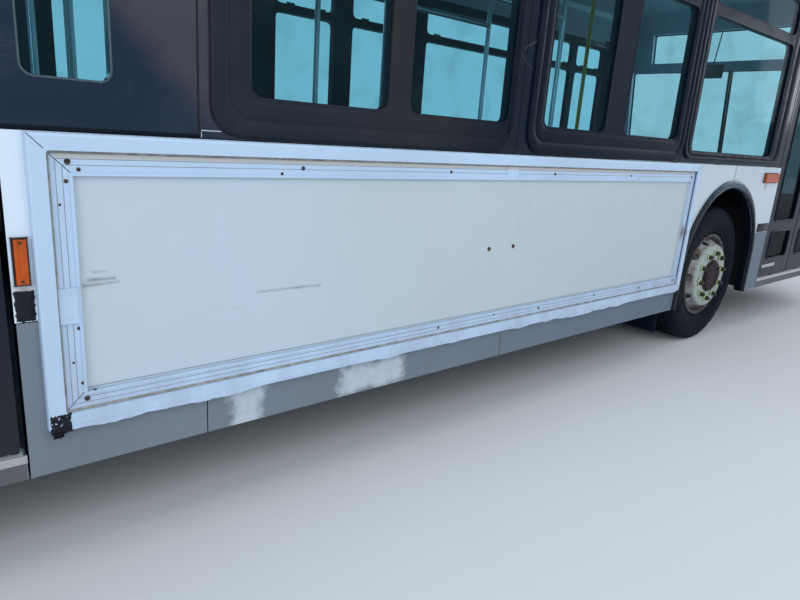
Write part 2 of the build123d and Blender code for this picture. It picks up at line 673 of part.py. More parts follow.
def make_floor():
    """Low floor, two steps, the raised rear floor, the engine tower and the wheel houses, in plates."""
    inner_y = HALF_WIDTH - WALL
    aisle_y = HOUSE_WALL_Y - HOUSE_PLATE - SHEET_GAP
    gap = SHEET_GAP
    low = FLOOR_Z - FLOOR_THICK
    high = REAR_FLOOR_Z - FLOOR_THICK
    step_z = 570
    step_low = step_z - FLOOR_THICK
    front_out = HOUSE_HALF[FRONT_AXLE_X] + HOUSE_PLATE + gap
    rear_out = HOUSE_HALF[REAR_AXLE_X] + HOUSE_PLATE + gap
    front_x0, front_x1 = FRONT_AXLE_X - front_out, FRONT_AXLE_X + front_out
    rear_x0, rear_x1 = REAR_AXLE_X - rear_out, REAR_AXLE_X + rear_out
    cabin = envelope(WALL)
    plates = [
        block(front_x1, 5960, -inner_y, inner_y, low, FLOOR_Z) & cabin,
        block(front_x0 + gap, front_x1 - gap, -aisle_y, aisle_y, low, FLOOR_Z),
        block(rear_x1, front_x0, -inner_y, inner_y, low, FLOOR_Z),
        block(-2300, rear_x1 - gap, -aisle_y, aisle_y, low, FLOOR_Z),
        block(-2300, -2270, -aisle_y, aisle_y, FLOOR_Z + gap, step_low - gap),
        block(-2570 + gap, -2270, -aisle_y, aisle_y, step_low, step_z),
        block(-2600, -2570, -aisle_y, aisle_y, step_low, high - gap),
        block(rear_x0 + gap, -2570, -aisle_y, aisle_y, high, REAR_FLOOR_Z),
        block(-4860, rear_x0, -inner_y, inner_y, high, REAR_FLOOR_Z),
        block(-4890, -4860, -inner_y, inner_y, REAR_FLOOR_Z + gap, ENGINE_DECK_Z),
        block(-5960, -4890 - gap, -inner_y, inner_y, ENGINE_DECK_Z - 30, ENGINE_DECK_Z) & cabin,
    ]
    plates += both([block(-5960, -4860 - gap, -inner_y, -600, high, REAR_FLOOR_Z) & cabin])
    plates += both(house_plates(FRONT_AXLE_X, low) + house_plates(REAR_AXLE_X, low))
    save("floor", plates)


def make_axles():
    """Dropped front beam, rear drive axle with its cross beams and air springs."""
    x = FRONT_AXLE_X
    beam = block(x - 50, x + 50, -700, 700, 165, 262)
    for way in (-1, 1):
        with BuildPart() as riser:
            with BuildSketch(Plane.YZ.offset(x - 50)):
                Polygon((way * 640, 165), (way * 700, 165), (way * 790, 440), (way * 860, 440),
                        (way * 860, 556), (way * 740, 556), (way * 640, 262), align=None)
            extrude(amount=100)
        beam += riser.part
        beam += rod((x, way * KINGPIN_Y, 440), (x, way * KINGPIN_Y, 556), 58)
        beam -= rod((x, way * KINGPIN_Y, 400), (x, way * KINGPIN_Y, 600), 30 + PIN_GAP)
        beam += rod((x - 95, way * 450, 262), (x - 95, way * 450, 275), 90)
        beam += block(x - 190, x, way * 450 - 45, way * 450 + 45, 225, 262)
    x = REAR_AXLE_X
    drive = disc_y(x, -540, 540, TYRE_R, 88)
    drive += disc_y(x, -150, 150, TYRE_R, 205)
    drive += disc_y(x, -1130, 1130, TYRE_R, 52)
    for way in (-1, 1):
        drive += block(x - 430, x + 110, way * 450 - 45, way * 450 + 45, 380, 440)
        drive += rod((x - 320, way * 450, 440), (x - 320, way * 450, 620), 110)
    shaft_end = x - 205 - SHEET_GAP
    engine_face = ENGINE_FRONT_X + SHEET_GAP
    shaft = rod((engine_face, 0, TYRE_R), (shaft_end, 0, TYRE_R), 45)
    for x0 in (engine_face, shaft_end - 22):
        shaft += rod((x0, 0, TYRE_R), (x0 + 22, 0, TYRE_R), 78)
    save("axles", [beam, drive, shaft])


def make_knuckles():
    for name, way in (("right", -1), ("left", 1)):
        x = FRONT_AXLE_X
        pin_y = way * KINGPIN_Y
        knuckle = rod((x, pin_y, 372), (x, pin_y, 624), 30)
        for z0, z1 in ((372, 434), (562, 624)):
            knuckle += rod((x, pin_y, z0), (x, pin_y, z1), 56)
            y0, y1 = sorted((pin_y, way * 985))
            knuckle += block(x - 50, x + 50, y0, y1, z0, z1)
        knuckle += disc_y(x, way * 955, way * 990, TYRE_R, 135)
        knuckle += disc_y(x, way * 955, way * 1150, TYRE_R, 48)
        knuckle += block(x - 230, x, pin_y - 22, pin_y + 22, 378, 400)
        save(f"knuckle_{name}", knuckle)


# Closed profiles as (outward from the tyre's middle, radius) points
BEAD_R = RIM_R + 1.5
FLANGE_R = RIM_R + 16
TYRE_PROFILE = (
    (-104, BEAD_R), (-104, FLANGE_R + 3), (-138, 348), (-TYRE_WIDTH / 2, 405), (-137, 458), (-124, 488),
    (-104, TYRE_R), (104, TYRE_R), (124, 488), (137, 458), (TYRE_WIDTH / 2, 405), (138, 348),
    (104, FLANGE_R + 3), (104, BEAD_R),
)
TYRE_SIDES = 40
RIM_PROFILE = (
    (-124, FLANGE_R), (-104, FLANGE_R), (-104, RIM_R), (-60, RIM_R - 2), (-44, 252), (44, 252),
    (60, RIM_R - 2), (104, RIM_R), (104, FLANGE_R), (124, FLANGE_R), (124, RIM_R - 4), (66, 274),
    (50, 243), (-50, 243), (-66, 274), (-124, RIM_R - 4),
)
HAND_HOLES = 10
HAND_HOLE_R = 24
HAND_HOLE_CIRCLE = 212
NUT_CIRCLE = 167.5


def revolve_y(points, x, y, way):
    """Turn a closed profile of (outward, radius) points round an axle line."""
    face = make_face(Polyline(*[(x, y + way * u, TYRE_R + r) for u, r in points], close=True))
    return revolve(face, Axis((x, y, TYRE_R), (0, 1, 0)), 360)


def faceted_y(points, x, y, way, sides):
    """The same, in flat faces: each side of the ring is a row of four-cornered faces."""
    rings = []
    for k in range(sides):
        turn = 2 * pi * k / sides
        rings.append([(x + r * sin(turn), y + way * u, TYRE_R + r * cos(turn)) for u, r in points])
    faces = []
    for k in range(sides):
        one, two = rings[k], rings[(k + 1) % sides]
        for i in range(len(points)):
            j = (i + 1) % len(points)
            faces.append(make_face(Polyline(one[i], one[j], two[j], two[i], close=True)).faces()[0])
    return Solid(Shell(faces))


def disc_profile(face_u, joint_u):
    """Wheel disc from the hub seat out to the rim well: face_u is the hub seat, joint_u the rim."""
    return ((face_u, 80), (face_u, 190), (joint_u, 249), (joint_u - 14, 243),
            (face_u - 16, 182), (face_u - 16, 80))


def hand_holes(x, y0, y1):
    """Cutters for the round holes through a wheel's disc."""
    cutters = []
    for k in range(HAND_HOLES):
        turn = 2 * pi * (k + 0.5) / HAND_HOLES
        centre_x = x + HAND_HOLE_CIRCLE * sin(turn)
        centre_z = TYRE_R + HAND_HOLE_CIRCLE * cos(turn)
        cutters.append(disc_y(centre_x, y0, y1, centre_z, HAND_HOLE_R))
    return cutters


def make_wheel(name, x, way, dual):
    """Tyres and wheels on one hub; an outer and an inner one at a drive axle."""
    rims = [(TRACK_Y, -96 if dual else 118)]
    if dual:
        rims.append((TRACK_Y - DUAL_SPACING, 223))
    tyres = [faceted_y(TYRE_PROFILE, x, way * y, way, TYRE_SIDES) for y, seat in rims]
    hub_in = way * (600 if dual else 1000)
    hub_out = way * (1180 if dual else 1262)
    whole = disc_y(x, hub_in, hub_out, TYRE_R, 105)
    whole += disc_y(x, hub_in, way * (TRACK_Y + rims[0][1] - 16), TYRE_R, 150)
    for y, seat in rims:
        joint = 44 if seat > 0 else -30
        disc = revolve_y(disc_profile(seat, joint), x, way * y, way)
        disc -= hand_holes(x, way * (y + seat - 90), way * (y + seat + 90))
        whole += revolve_y(RIM_PROFILE, x, way * y, way) + disc
    nave_u = way * (TRACK_Y + rims[0][1])
    nave = disc_y(x, nave_u, nave_u + way * 9, TYRE_R, NUT_CIRCLE + 22)
    nave -= disc_y(x, nave_u - way, nave_u + way * 10, TYRE_R, NUT_CIRCLE - 22)
    whole += nave
    whole -= disc_y(x, hub_in - way * 5, way * 1160, TYRE_R, 56 if dual else 52)
    save(f"tyres_{name}", tyres)
    save(f"wheels_{name}", whole)


def make_dashboard():
    """Driver's console with the steering wheel, the fare box and the screen behind the driver."""
    with BuildPart() as console:
        with BuildSketch(Plane.XZ.offset(-1150)):
            Polygon((5560, 600), (6000, 600), (6000, 1000), (5700, 1030), (5520, 930), align=None)
        extrude(amount=1630)
    dash = console.part
    dash += block(5650, 5960, -470, 1100, FLOOR_Z, 620)
    dash &= envelope(WALL + 6)
    seat_y = 640
    tilt = radians(62)
    centre = Vector(5330, seat_y, 1060)
    column = rod((5640, seat_y, 800), tuple(centre), 30)
    ring_plane = Plane(origin=centre, z_dir=(-cos(tilt), 0, sin(tilt)))
    ring = ring_plane * (Cylinder(238, 24) - Cylinder(212, 24))
    dash += column
    dash += ring
    for k in range(3):
        spoke = 2 * pi * k / 3
        tip = ring_plane.from_local_coords(Vector(225 * cos(spoke), 225 * sin(spoke), 0))
        dash += rod(tuple(centre), tuple(tip), 11)
    fare_box = block(5250, 5500, -330, -90, FLOOR_Z, 1180)
    screen = block(4420, 4445, 330, 1190, FLOOR_Z, 1500)
    screen = fillet(screen.edges().filter_by(Axis.X).group_by(Axis.Z)[-1], 60)
    save("dashboard", [dash, fare_box, screen])


# Double seats, all facing forward: x of the cushion's front edge, y of the middle, floor level
SEATS = (
    (2300, -760, FLOOR_Z), (1540, -760, FLOOR_Z), (780, -760, FLOOR_Z), (20, -760, FLOOR_Z),
    (2300, 760, FLOOR_Z), (1540, 760, FLOOR_Z), (780, 760, FLOOR_Z), (20, 760, FLOOR_Z),
    (-740, 760, FLOOR_Z), (-1500, 760, FLOOR_Z),
    (-3560, -760, REAR_FLOOR_Z), (-4300, -760, REAR_FLOOR_Z),
    (-3560, 760, REAR_FLOOR_Z), (-4300, 760, REAR_FLOOR_Z),
)
DRIVER_SEAT = (5010, 640, 520)


# A seat from its side: (behind the front edge, above the floor)
SEAT_OUTLINE = ((0, 400), (0, 450), (-360, 430), (-470, 960), (-515, 960), (-415, 385))
SHELL_WIDTH = 415
SHELL_OFFSET = 222.5


def seat_shell(x, y, z, width):
    """A moulded seat with its back, of even thickness, its corners rounded."""
    with BuildPart() as shell:
        with BuildSketch(Plane.XZ.offset(-(y + width / 2))):
            Polygon(*[(x + a, z + b) for a, b in SEAT_OUTLINE], align=None)
        extrude(amount=width)
    shape = shell.part
    top = [e for e in shape.edges() if e.center().Z > z + 950 and abs(e.center().Y - y) > width / 2 - 1]
    front = [e for e in shape.edges() if e.center().X > x - 1 and abs(e.center().Y - y) > width / 2 - 1]
    return fillet(top + front, 60)


def make_seats():
    """Pairs of shells on a pedestal each, and the driver's seat on its platform."""
    seats = []
    for x, y, z in SEATS:
        pair = block(x - 330, x - 110, y - 60, y + 60, z, z + 410)
        for way in (-1, 1):
            pair += seat_shell(x, y + way * SHELL_OFFSET, z, SHELL_WIDTH)
        seats.append(pair)
    seat_x, seat_y, deck_z = DRIVER_SEAT
    driver = seat_shell(seat_x, seat_y, deck_z, 480)
    driver += block(seat_x - 450, seat_x + 90, seat_y - 240, seat_y + 240, FLOOR_Z, deck_z)
    driver += block(seat_x - 330, seat_x - 110, seat_y - 90, seat_y + 90, deck_z, deck_z + 410)
    seats.append(driver)
    save("seats", seats)


# Upright poles: x, y, floor level
POLE_Y = 340
POLE_R = 17
POLES = (
    (3990, -520, FLOOR_Z), (3990, 520, FLOOR_Z), (2420, -POLE_Y, FLOOR_Z), (900, -POLE_Y, FLOOR_Z),
    (-640, -POLE_Y, FLOOR_Z), (2420, POLE_Y, FLOOR_Z), (900, POLE_Y, FLOOR_Z), (-640, POLE_Y, FLOOR_Z),
    (-2200, POLE_Y, FLOOR_Z), (-3440, -POLE_Y, REAR_FLOOR_Z), (-3440, POLE_Y, REAR_FLOOR_Z),
)
RAIL_Z = 2180


def make_stanchions():
    """Poles from floor to ceiling, and hand rails that meet them just short of touching."""
    cabin = envelope(WALL)
    hangers = [(-4600, y, RAIL_Z - POLE_R) for y in (-POLE_Y, POLE_Y)]
    poles = [rod((x, y, z), (x, y, ROOF_Z), POLE_R) & cabin for x, y, z in POLES + tuple(hangers)]
    sleeves = [rod((x, y, z - 10), (x, y, ROOF_Z), POLE_R + SHEET_GAP) for x, y, z in POLES + tuple(hangers)]
    rails = [rod((-4600, y, RAIL_Z), (2420, y, RAIL_Z), POLE_R) - sleeves for y in (-POLE_Y, POLE_Y)]
    save("stanchions", poles + rails)


ENGINE_SHAFT_Z = 560
FAN_Z = 800
FAN_BLADES = 6

# The engine's blocks, rear end to front end: sump, crankcase, head and rocker cover
ENGINE_BLOCKS = (
    (-5690, -5330, 180, 340, 482),
    (-5720, -5298, 230, 480, 962),
    (-5700, -5320, 170, 960, 1112),
    (-5680, -5340, 130, 1110, 1190),
)


def make_fan():
    """The cooling fan behind the engine, its blades set at a slant on the hub."""
    fan = rod((-5795, 0, FAN_Z), (-5715, 0, FAN_Z), 62)
    for step in range(FAN_BLADES):
        fan += Pos(-5765, 0, FAN_Z) * Rot(step * 360 / FAN_BLADES, 0, 0) * Pos(0, 0, 125) * Rot(0, 0, 35) * Box(
            8, 90, 150)
    return fan


def make_engine():
    """Engine and gearbox with fan, pulley, air cleaner, exhaust manifold and feet on the rails."""
    engine = make_fan()
    for x0, x1, half, z0, z1 in ENGINE_BLOCKS:
        engine += block(x0, x1, -half, half, z0, z1)
    engine += rod((-5300, 0, ENGINE_SHAFT_Z), (-5230, 0, ENGINE_SHAFT_Z), 225)
    engine += rod((-5235, 0, TYRE_R), (ENGINE_FRONT_X, 0, TYRE_R), 165)
    engine += rod((-5790, 0, 530), (-5715, 0, 530), 62)
    engine += rod((-5640, 272, 1050), (-5260, 272, 1050), 108)
    engine += rod((-5690, -272, 900), (-5340, -272, 900), 48)
    engine += rod((-5700, 290, 700), (-5560, 290, 700), 72)
    for way in (-1, 1):
        y0, y1 = sorted((way * 225, way * (RAIL_Y - RAIL_HALF - SHEET_GAP)))
        engine += block(-5560, -5440, y0, y1, 645, 695)
        y0, y1 = sorted((way * 60, way * (RAIL_Y - RAIL_HALF - SHEET_GAP)))
        engine += block(-5150, -5060, y0, y1, 625, 640)
    save("engine", engine)


def main():
    os.makedirs("parts", exist_ok=True)
    shell = body_shell()
    make_sides(shell)
    make_flares()
    make_ad_frames()
    make_windows()
    make_roof(shell)
    make_ends(shell)
    make_bumpers()
    make_lamps()
    make_mirrors()
    make_wipers()
    make_entry_door()
    make_exit_door()
    make_underframe()
    make_floor()
    make_axles()
    make_knuckles()
    for name, x, way, dual in (
        ("front_right", FRONT_AXLE_X, -1, False), ("front_left", FRONT_AXLE_X, 1, False),
        ("rear_right", REAR_AXLE_X, -1, True), ("rear_left", REAR_AXLE_X, 1, True),
    ):
        make_wheel(name, x, way, dual)
    make_dashboard()
    make_seats()
    make_stanchions()
    make_engine()


main()
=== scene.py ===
"""City bus: its paint, rubber, glass, trim and fittings, built round its construction."""
import math
import random

import bmesh
import bpy
from bpy.props import FloatProperty, FloatVectorProperty, IntProperty, PointerProperty
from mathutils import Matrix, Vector


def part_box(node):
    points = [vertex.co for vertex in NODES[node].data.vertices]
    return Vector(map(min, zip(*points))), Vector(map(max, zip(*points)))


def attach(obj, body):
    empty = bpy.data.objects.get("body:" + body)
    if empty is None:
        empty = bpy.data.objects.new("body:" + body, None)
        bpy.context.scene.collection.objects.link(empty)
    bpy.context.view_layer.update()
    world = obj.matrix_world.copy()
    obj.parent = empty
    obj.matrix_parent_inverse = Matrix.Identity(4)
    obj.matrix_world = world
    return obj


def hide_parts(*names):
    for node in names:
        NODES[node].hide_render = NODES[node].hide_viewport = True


bl_info = {
    "name": "City bus finish",
    "version": (1, 0, 0),
    "blender": (4, 5, 0),
    "location": "View3D > Sidebar > City bus",
    "description": "Paints a low-floor city bus and adds its trim, tyres and fittings",
    "category": "Object",
}

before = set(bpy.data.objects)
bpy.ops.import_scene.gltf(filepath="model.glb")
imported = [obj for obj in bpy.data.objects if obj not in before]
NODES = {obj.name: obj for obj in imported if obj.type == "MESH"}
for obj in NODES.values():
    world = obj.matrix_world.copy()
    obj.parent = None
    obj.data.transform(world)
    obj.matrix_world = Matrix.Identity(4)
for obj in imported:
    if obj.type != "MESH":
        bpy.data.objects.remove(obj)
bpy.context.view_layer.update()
KERB, STREET = -1, 1
SIDES = ((KERB, "kerb"), (STREET, "street"))
ENDS = ("front", "rear")


# Levels and places read from the construction
def low(node):
    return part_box(node)[0]


def high(node):
    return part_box(node)[1]


def middle(node):
    return (low(node) + high(node)) / 2


SIDE_Y = high("side_panels").y
AD_Y = high("ad_frames").y
GROUND_Z = low("tyres_front_right").z
AXLE_X = {end: middle(f"tyres_{end}_right").x for end in ENDS}
AXLE_Z = middle("tyres_front_right").z
BELT_Z = low("window_bands").z
ROOF_SEAM_Z = low("roof").z
SKIRT_Z = low("skirts").z
AD_LOW, AD_HIGH = low("ad_frames"), high("ad_frames")
BOARD_Y = high("ad_boards").y


class BusSizes(bpy.types.PropertyGroup):
    """Sizes of the trim that is added to the bus."""
    screw: FloatProperty(name="Screw head", description="Radius of the rail screws' heads",
                         default=0.006, unit="LENGTH")
    gasket: FloatProperty(name="Gasket", description="Radius of a pane's bead",
                          default=0.0055, unit="LENGTH")
    nut: FloatProperty(name="Wheel nut", description="Width of a wheel nut across its flats",
                       default=0.033, unit="LENGTH")
    nut_circle: FloatProperty(name="Nut circle", description="Radius of the circle of wheel nuts",
                              default=0.1675, unit="LENGTH")
    nut_count: IntProperty(name="Wheel nuts", description="Nuts on each wheel", default=10)
    seed: IntProperty(name="Seed", description="Seed of the small irregularities", default=7)


class BusColours(bpy.types.PropertyGroup):
    """Colours that give the bus its look."""
    # Paint, board and skirt are bluer and dimmer than the bus's own colours: a painted cool shade
    paint: FloatVectorProperty(name="Paint", description="White of the panels", subtype="COLOR",
                               size=3, default=(0.62, 0.71, 0.80))
    board: FloatVectorProperty(name="Board", description="Advertising board", subtype="COLOR",
                               size=3, default=(0.55, 0.63, 0.665))
    skirt: FloatVectorProperty(name="Skirt", description="Grey of the skirts", subtype="COLOR",
                               size=3, default=(0.185, 0.22, 0.27))
    black: FloatVectorProperty(name="Black", description="Black of the window band", subtype="COLOR",
                               size=3, default=(0.010, 0.023, 0.046))
    glass: FloatVectorProperty(name="Glass", description="Tint of the glass", subtype="COLOR",
                               size=3, default=(0.70, 0.925, 0.985))
    amber: FloatVectorProperty(name="Amber", description="Amber lenses", subtype="COLOR",
                               size=3, default=(0.62, 0.10, 0.008))
    rust: FloatVectorProperty(name="Rust", description="Rust stains", subtype="COLOR",
                              size=3, default=(0.23, 0.075, 0.02))


def math_method(operation, swapped=False):
    """A method of Value that adds one Math node."""
    def method(self, other):
        first, second = (other, self) if swapped else (self, other)
        node = self.finish.node("ShaderNodeMath", {"operation": operation}, {0: first, 1: second})
        return Value(self.finish, node.outputs[0])
    return method


class Value:
    """A number in a material: a socket whose arithmetic adds Math nodes."""

    def __init__(self, finish, socket):
        self.finish = finish
        self.socket = socket

    __add__ = math_method("ADD")
    __radd__ = math_method("ADD", swapped=True)
    __sub__ = math_method("SUBTRACT")
    __rsub__ = math_method("SUBTRACT", swapped=True)
    __mul__ = math_method("MULTIPLY")
    __rmul__ = math_method("MULTIPLY", swapped=True)
    __pow__ = math_method("POWER")
    __rpow__ = math_method("POWER", swapped=True)
    __gt__ = math_method("GREATER_THAN")
    __lt__ = math_method("LESS_THAN")
    most = math_method("MAXIMUM")
    least = math_method("MINIMUM")

    def __abs__(self):
        return self.most(0 - self)


def tinted(colour, *shares):
    """A colour with each channel, or all three, multiplied."""
    return [x * share for x, share in zip(colour, shares if len(shares) > 1 else shares * 3)]


def any_of(masks):
    """1 wherever one of the masks is."""
    first, *others = masks
    for mask in others:
        first = first.most(mask)
    return first


class Finish:
    """One material, written as expressions on values."""

    # Sockets of a Mix node that mixes colours
    MIX_FACTOR, MIX_FIRST, MIX_SECOND, MIX_RESULT = 0, 6, 7, 2

    def __init__(self, name, **fixed):
        self.mat = bpy.data.materials.new(name)
        self.mat.use_nodes = True
        self.tree = self.mat.node_tree
        self.tree.nodes.clear()
        self.shader = self.node("ShaderNodeBsdfPrincipled")
        self.out = self.node("ShaderNodeOutputMaterial", {}, {"Surface": self.shader.outputs[0]})
        for socket, value in fixed.items():
            self.set(socket.replace("_", " ").title().replace("Ior", "IOR"), value)
        self.where = None

    def node(self, kind, settings=None, values=None):
        node = self.tree.nodes.new(kind)
        for key, value in (settings or {}).items():
            setattr(node, key, value)
        for key, value in (values or {}).items():
            self.link(node.inputs[key], value)
        return node

    def link(self, socket, value):
        if isinstance(value, Value):
            value = value.socket
        if isinstance(value, bpy.types.NodeSocket):
            self.tree.links.new(value, socket)
            return
        if socket.type == "RGBA":
            value = (*tuple(value)[:3], 1)
        socket.default_value = value

    def set(self, socket, value):
        self.link(self.shader.inputs[socket], value)

    def colour(self, value):
        self.set("Base Color", value)

    def rough(self, value):
        self.set("Roughness", value)

    def vector(self, operation, *values):
        """The result of a Vector Math node: a number where the operation measures."""
        node = self.node("ShaderNodeVectorMath", {"operation": operation}, dict(enumerate(values)))
        if operation in ("LENGTH", "DISTANCE"):
            return Value(self, node.outputs["Value"])
        return node.outputs["Vector"]

    def parts(self, vector):
        """The three numbers of a vector."""
        return [Value(self, out) for out in self.node("ShaderNodeSeparateXYZ", {}, {0: vector}).outputs]

    def place(self):
        """The bus's own coordinates, in metres."""
        if self.where is None:
            self.where = self.node("ShaderNodeTexCoord").outputs["Object"]
        return self.where

    def axis(self, index):
        return self.parts(self.place())[index]

    def facing(self, index):
        """How far the surface itself faces along an axis, from -1 to 1."""
        return self.parts(self.node("ShaderNodeNewGeometry").outputs["True Normal"])[index]

    def noise(self, scale, detail=4.0, rough=0.6, stretch=(1, 1, 1), warp=0.0):
        """Cloudy noise from 0 to 1, with a size per metre and a stretch along each axis."""
        values = {"Vector": self.vector("MULTIPLY", self.place(), stretch), "Scale": scale,
                  "Detail": detail, "Roughness": rough, "Distortion": warp}
        return Value(self, self.node("ShaderNodeTexNoise", {}, values).outputs["Fac"])

    def patches(self, start, end, *noise, **shape):
        """Soft-edged patches where a noise is past a level."""
        return self.band(self.noise(*noise, **shape), start, end)

    def ragged(self, size, *noise):
        """A noise about 0, of a size in metres, that roughens an edge."""
        return (self.noise(*noise) - 0.5) * size

    def cells(self, scale, feature="F1", stretch=(1, 1, 1)):
        values = {"Vector": self.vector("MULTIPLY", self.place(), stretch), "Scale": scale}
        node = self.node("ShaderNodeTexVoronoi", {"feature": feature}, values)
        return Value(self, node.outputs["Distance"])

    def flutes(self, direction, scale):
        """The fine ribs of a moulded lens."""
        settings = {"wave_type": "BANDS", "bands_direction": direction}
        node = self.node("ShaderNodeTexWave", settings, {"Vector": self.place(), "Scale": scale})
        return Value(self, node.outputs["Fac"])

    def band(self, value, start, end):
        """0 before start, 1 past end, smooth between; start may be the larger."""
        lesser, greater = sorted((start, end))
        node = self.node("ShaderNodeMapRange", {"interpolation_type": "SMOOTHSTEP"},
                         {"Value": value, "From Min": lesser, "From Max": greater})
        rising = Value(self, node.outputs[0])
        return rising if start < end else 1 - rising

    def mix(self, factor, first, second):
        """A colour between two colours."""
        values = {self.MIX_FACTOR: factor, self.MIX_FIRST: first, self.MIX_SECOND: second}
        return self.node("ShaderNodeMix", {"data_type": "RGBA"}, values).outputs[self.MIX_RESULT]

    def near(self, point, radius, soft, wobble):
        """1 within a radius of a point, falling off over a soft edge that wobble roughens."""
        away = self.vector("DISTANCE", self.place(), point) + wobble
        return self.band(away, radius + soft, radius - soft)

    def within(self, centre, half, soft, wobble=None):
        """1 inside a box about a centre, with a soft edge; wobble roughens it."""
        away = self.vector("ABSOLUTE", self.vector("SUBTRACT", self.place(), centre))
        far = any_of(self.parts(self.vector("SUBTRACT", away, half)))
        return self.band(far if wobble is None else far + wobble, soft, -soft)

    def bump(self, height, strength, distance):
        values = {"Height": height, "Strength": strength, "Distance": distance}
        self.set("Normal", self.node("ShaderNodeBump", {}, values).outputs[0])

    def grain(self, scale, detail, strength, distance):
        """The bump of an even, cloudy noise."""
        self.bump(self.noise(scale, detail), strength, distance)

    def surface(self, factor, first, second):
        """Mix two shaders into the material's surface."""
        values = {0: factor, 1: first.outputs[0], 2: second.outputs[0]}
        blend = self.node("ShaderNodeMixShader", {}, values)
        self.link(self.out.inputs["Surface"], blend.outputs[0])


# Every finish by its name: the function that paints it and the sockets that stay fixed
FINISHES = {}
MADE = {}


def finish(**fixed):
    """Keep a function as the maker of the finish that has its name."""
    def keep(maker):
        FINISHES[maker.__name__] = (maker, fixed)
        return maker
    return keep


def finish_named(name):
    """Each material is made once, when the first piece asks for it."""
    if name not in MADE:
        maker, fixed = FINISHES[name]
        made = Finish(name, **fixed)
        maker(made, bpy.context.scene.bus_colours)
        MADE[name] = made.mat
    return MADE[name]


def two_tone(name, first, second, noise, step=None, share=1.0, rougher=None, grain=None, **fixed):
    """Keep a finish of two colours in cloudy patches, rougher in the second, with a fine grain."""
    def maker(f, c):
        patch = f.patches(*step, *noise) if step else f.noise(*noise)
        f.colour(f.mix(patch * share, first, second))
        if rougher:
            f.rough(fixed["roughness"] + patch * rougher)
        if grain:
            f.grain(*grain)
    FINISHES[name] = (maker, fixed)


two_tone("tyre_rubber", (0.002, 0.005, 0.011), (0.018, 0.022, 0.028), (16, 6, 0.7), (0.4, 0.75), 0.4,
         0.25, (180, 3, 0.25, 0.0008), roughness=0.62, specular_ior_level=0.1)
two_tone("hub_iron", (0.016, 0.012, 0.020), (0.060, 0.034, 0.034), (30, 6, 0.7), (0.4, 0.65), 1.0,
         0.25, (90, 4, 0.4, 0.001), roughness=0.6, specular_ior_level=0.25)
two_tone("rusty_screw", (0.02, 0.018, 0.02), (0.09, 0.045, 0.03), (90, 4), (0.4, 0.6),
         grain=(300, 3, 0.3, 0.0003), roughness=0.6, metallic=0.4)
two_tone("engine_iron", (0.14, 0.14, 0.145), (0.03, 0.026, 0.022), (7, 6), (0.4, 0.7),
         grain=(60, 4, 0.4, 0.002), roughness=0.6, metallic=0.4)
two_tone("marker_plastic", (0.66, 0.86, 0.34), (0.14, 0.16, 0.07), (45, 5), (0.35, 0.7), 0.5,
         grain=(200, 2, 0.15, 0.0004), roughness=0.45)
two_tone("seat_shell", (0.055, 0.065, 0.085), (0.13, 0.14, 0.16), (4, 4), (0.4, 0.75), 0.4,
         grain=(220, 2, 0.15, 0.0006), roughness=0.45)
two_tone("pole_yellow", (0.72, 0.42, 0.02), (0.42, 0.30, 0.10), (12, 5, 0.7), (0.6, 0.7), 0.6,
         grain=(120, 2, 0.1, 0.0004), roughness=0.35, coat_weight=0.3)
two_tone("lining_grey", (0.42, 0.44, 0.46), (0.50, 0.52, 0.53), (3, 4),
         grain=(260, 2, 0.1, 0.0006), roughness=0.5)
# Painted shade: grey lines for the shaded ridges of the frame rails and the board's edge
two_tone("line_shade_grey", (0.17, 0.18, 0.20), (0.36, 0.39, 0.43), (7, 4), roughness=0.8)
two_tone("lamp_strip", (0.8, 0.84, 0.84), (0.9, 0.92, 0.92), (6, 3), roughness=0.35)
two_tone("slit_rim", (0.03, 0.055, 0.075), (0.075, 0.11, 0.13), (9, 4), roughness=0.3)
two_tone("bead_black", (0.001, 0.003, 0.008), (0.008, 0.012, 0.020), (12, 4),
         roughness=0.6, specular_ior_level=0.1)


def weathered(f, base, rough, dirt_colour=(0.16, 0.14, 0.12), low_z=0.3, high_z=1.0, amount=0.55):
    """Paint with soft cloudiness and road dust that thickens downwards; gives its colour."""
    depth = f.band(f.axis(2), high_z, low_z)
    dust = (depth * 0.75 + 0.12) * f.patches(0.35, 0.75, 9, 6, 0.7, stretch=(1, 1, 0.35)) * amount
    tone = f.mix(f.patches(0.25, 0.8, 1.3, 5, 0.62), base, tinted(base, 0.88))
    f.rough(rough + dust * 0.45 + f.noise(40, 3) * 0.05)
    return f.mix(dust, tone, dirt_colour)


def scratches(f, scale, stretch, width):
    """Thin lines, broken up, that run across the stretch."""
    lines = f.cells(scale, "DISTANCE_TO_EDGE", stretch)
    return f.band(lines, width, width * 0.25) * f.patches(0.52, 0.62, 2.2, 3)


def shade_inside(f):
    """Behind the skin, on the panels' edges and backs, a near-black sheet is painted shade."""
    shade_sheet = f.node("ShaderNodeBsdfDiffuse", {}, {"Color": (0.005, 0.007, 0.011)})
    f.surface(f.band(abs(f.axis(1)), SIDE_Y - 0.0006, SIDE_Y - 0.0022), f.shader, shade_sheet)


@finish(coat_weight=0.3, coat_roughness=0.15)
def panel_white(f, c):
    f.colour(weathered(f, c.paint, 0.28))
    f.bump(f.noise(260, 2) + f.noise(2.0, 2) * 3, 0.12, 0.0012)


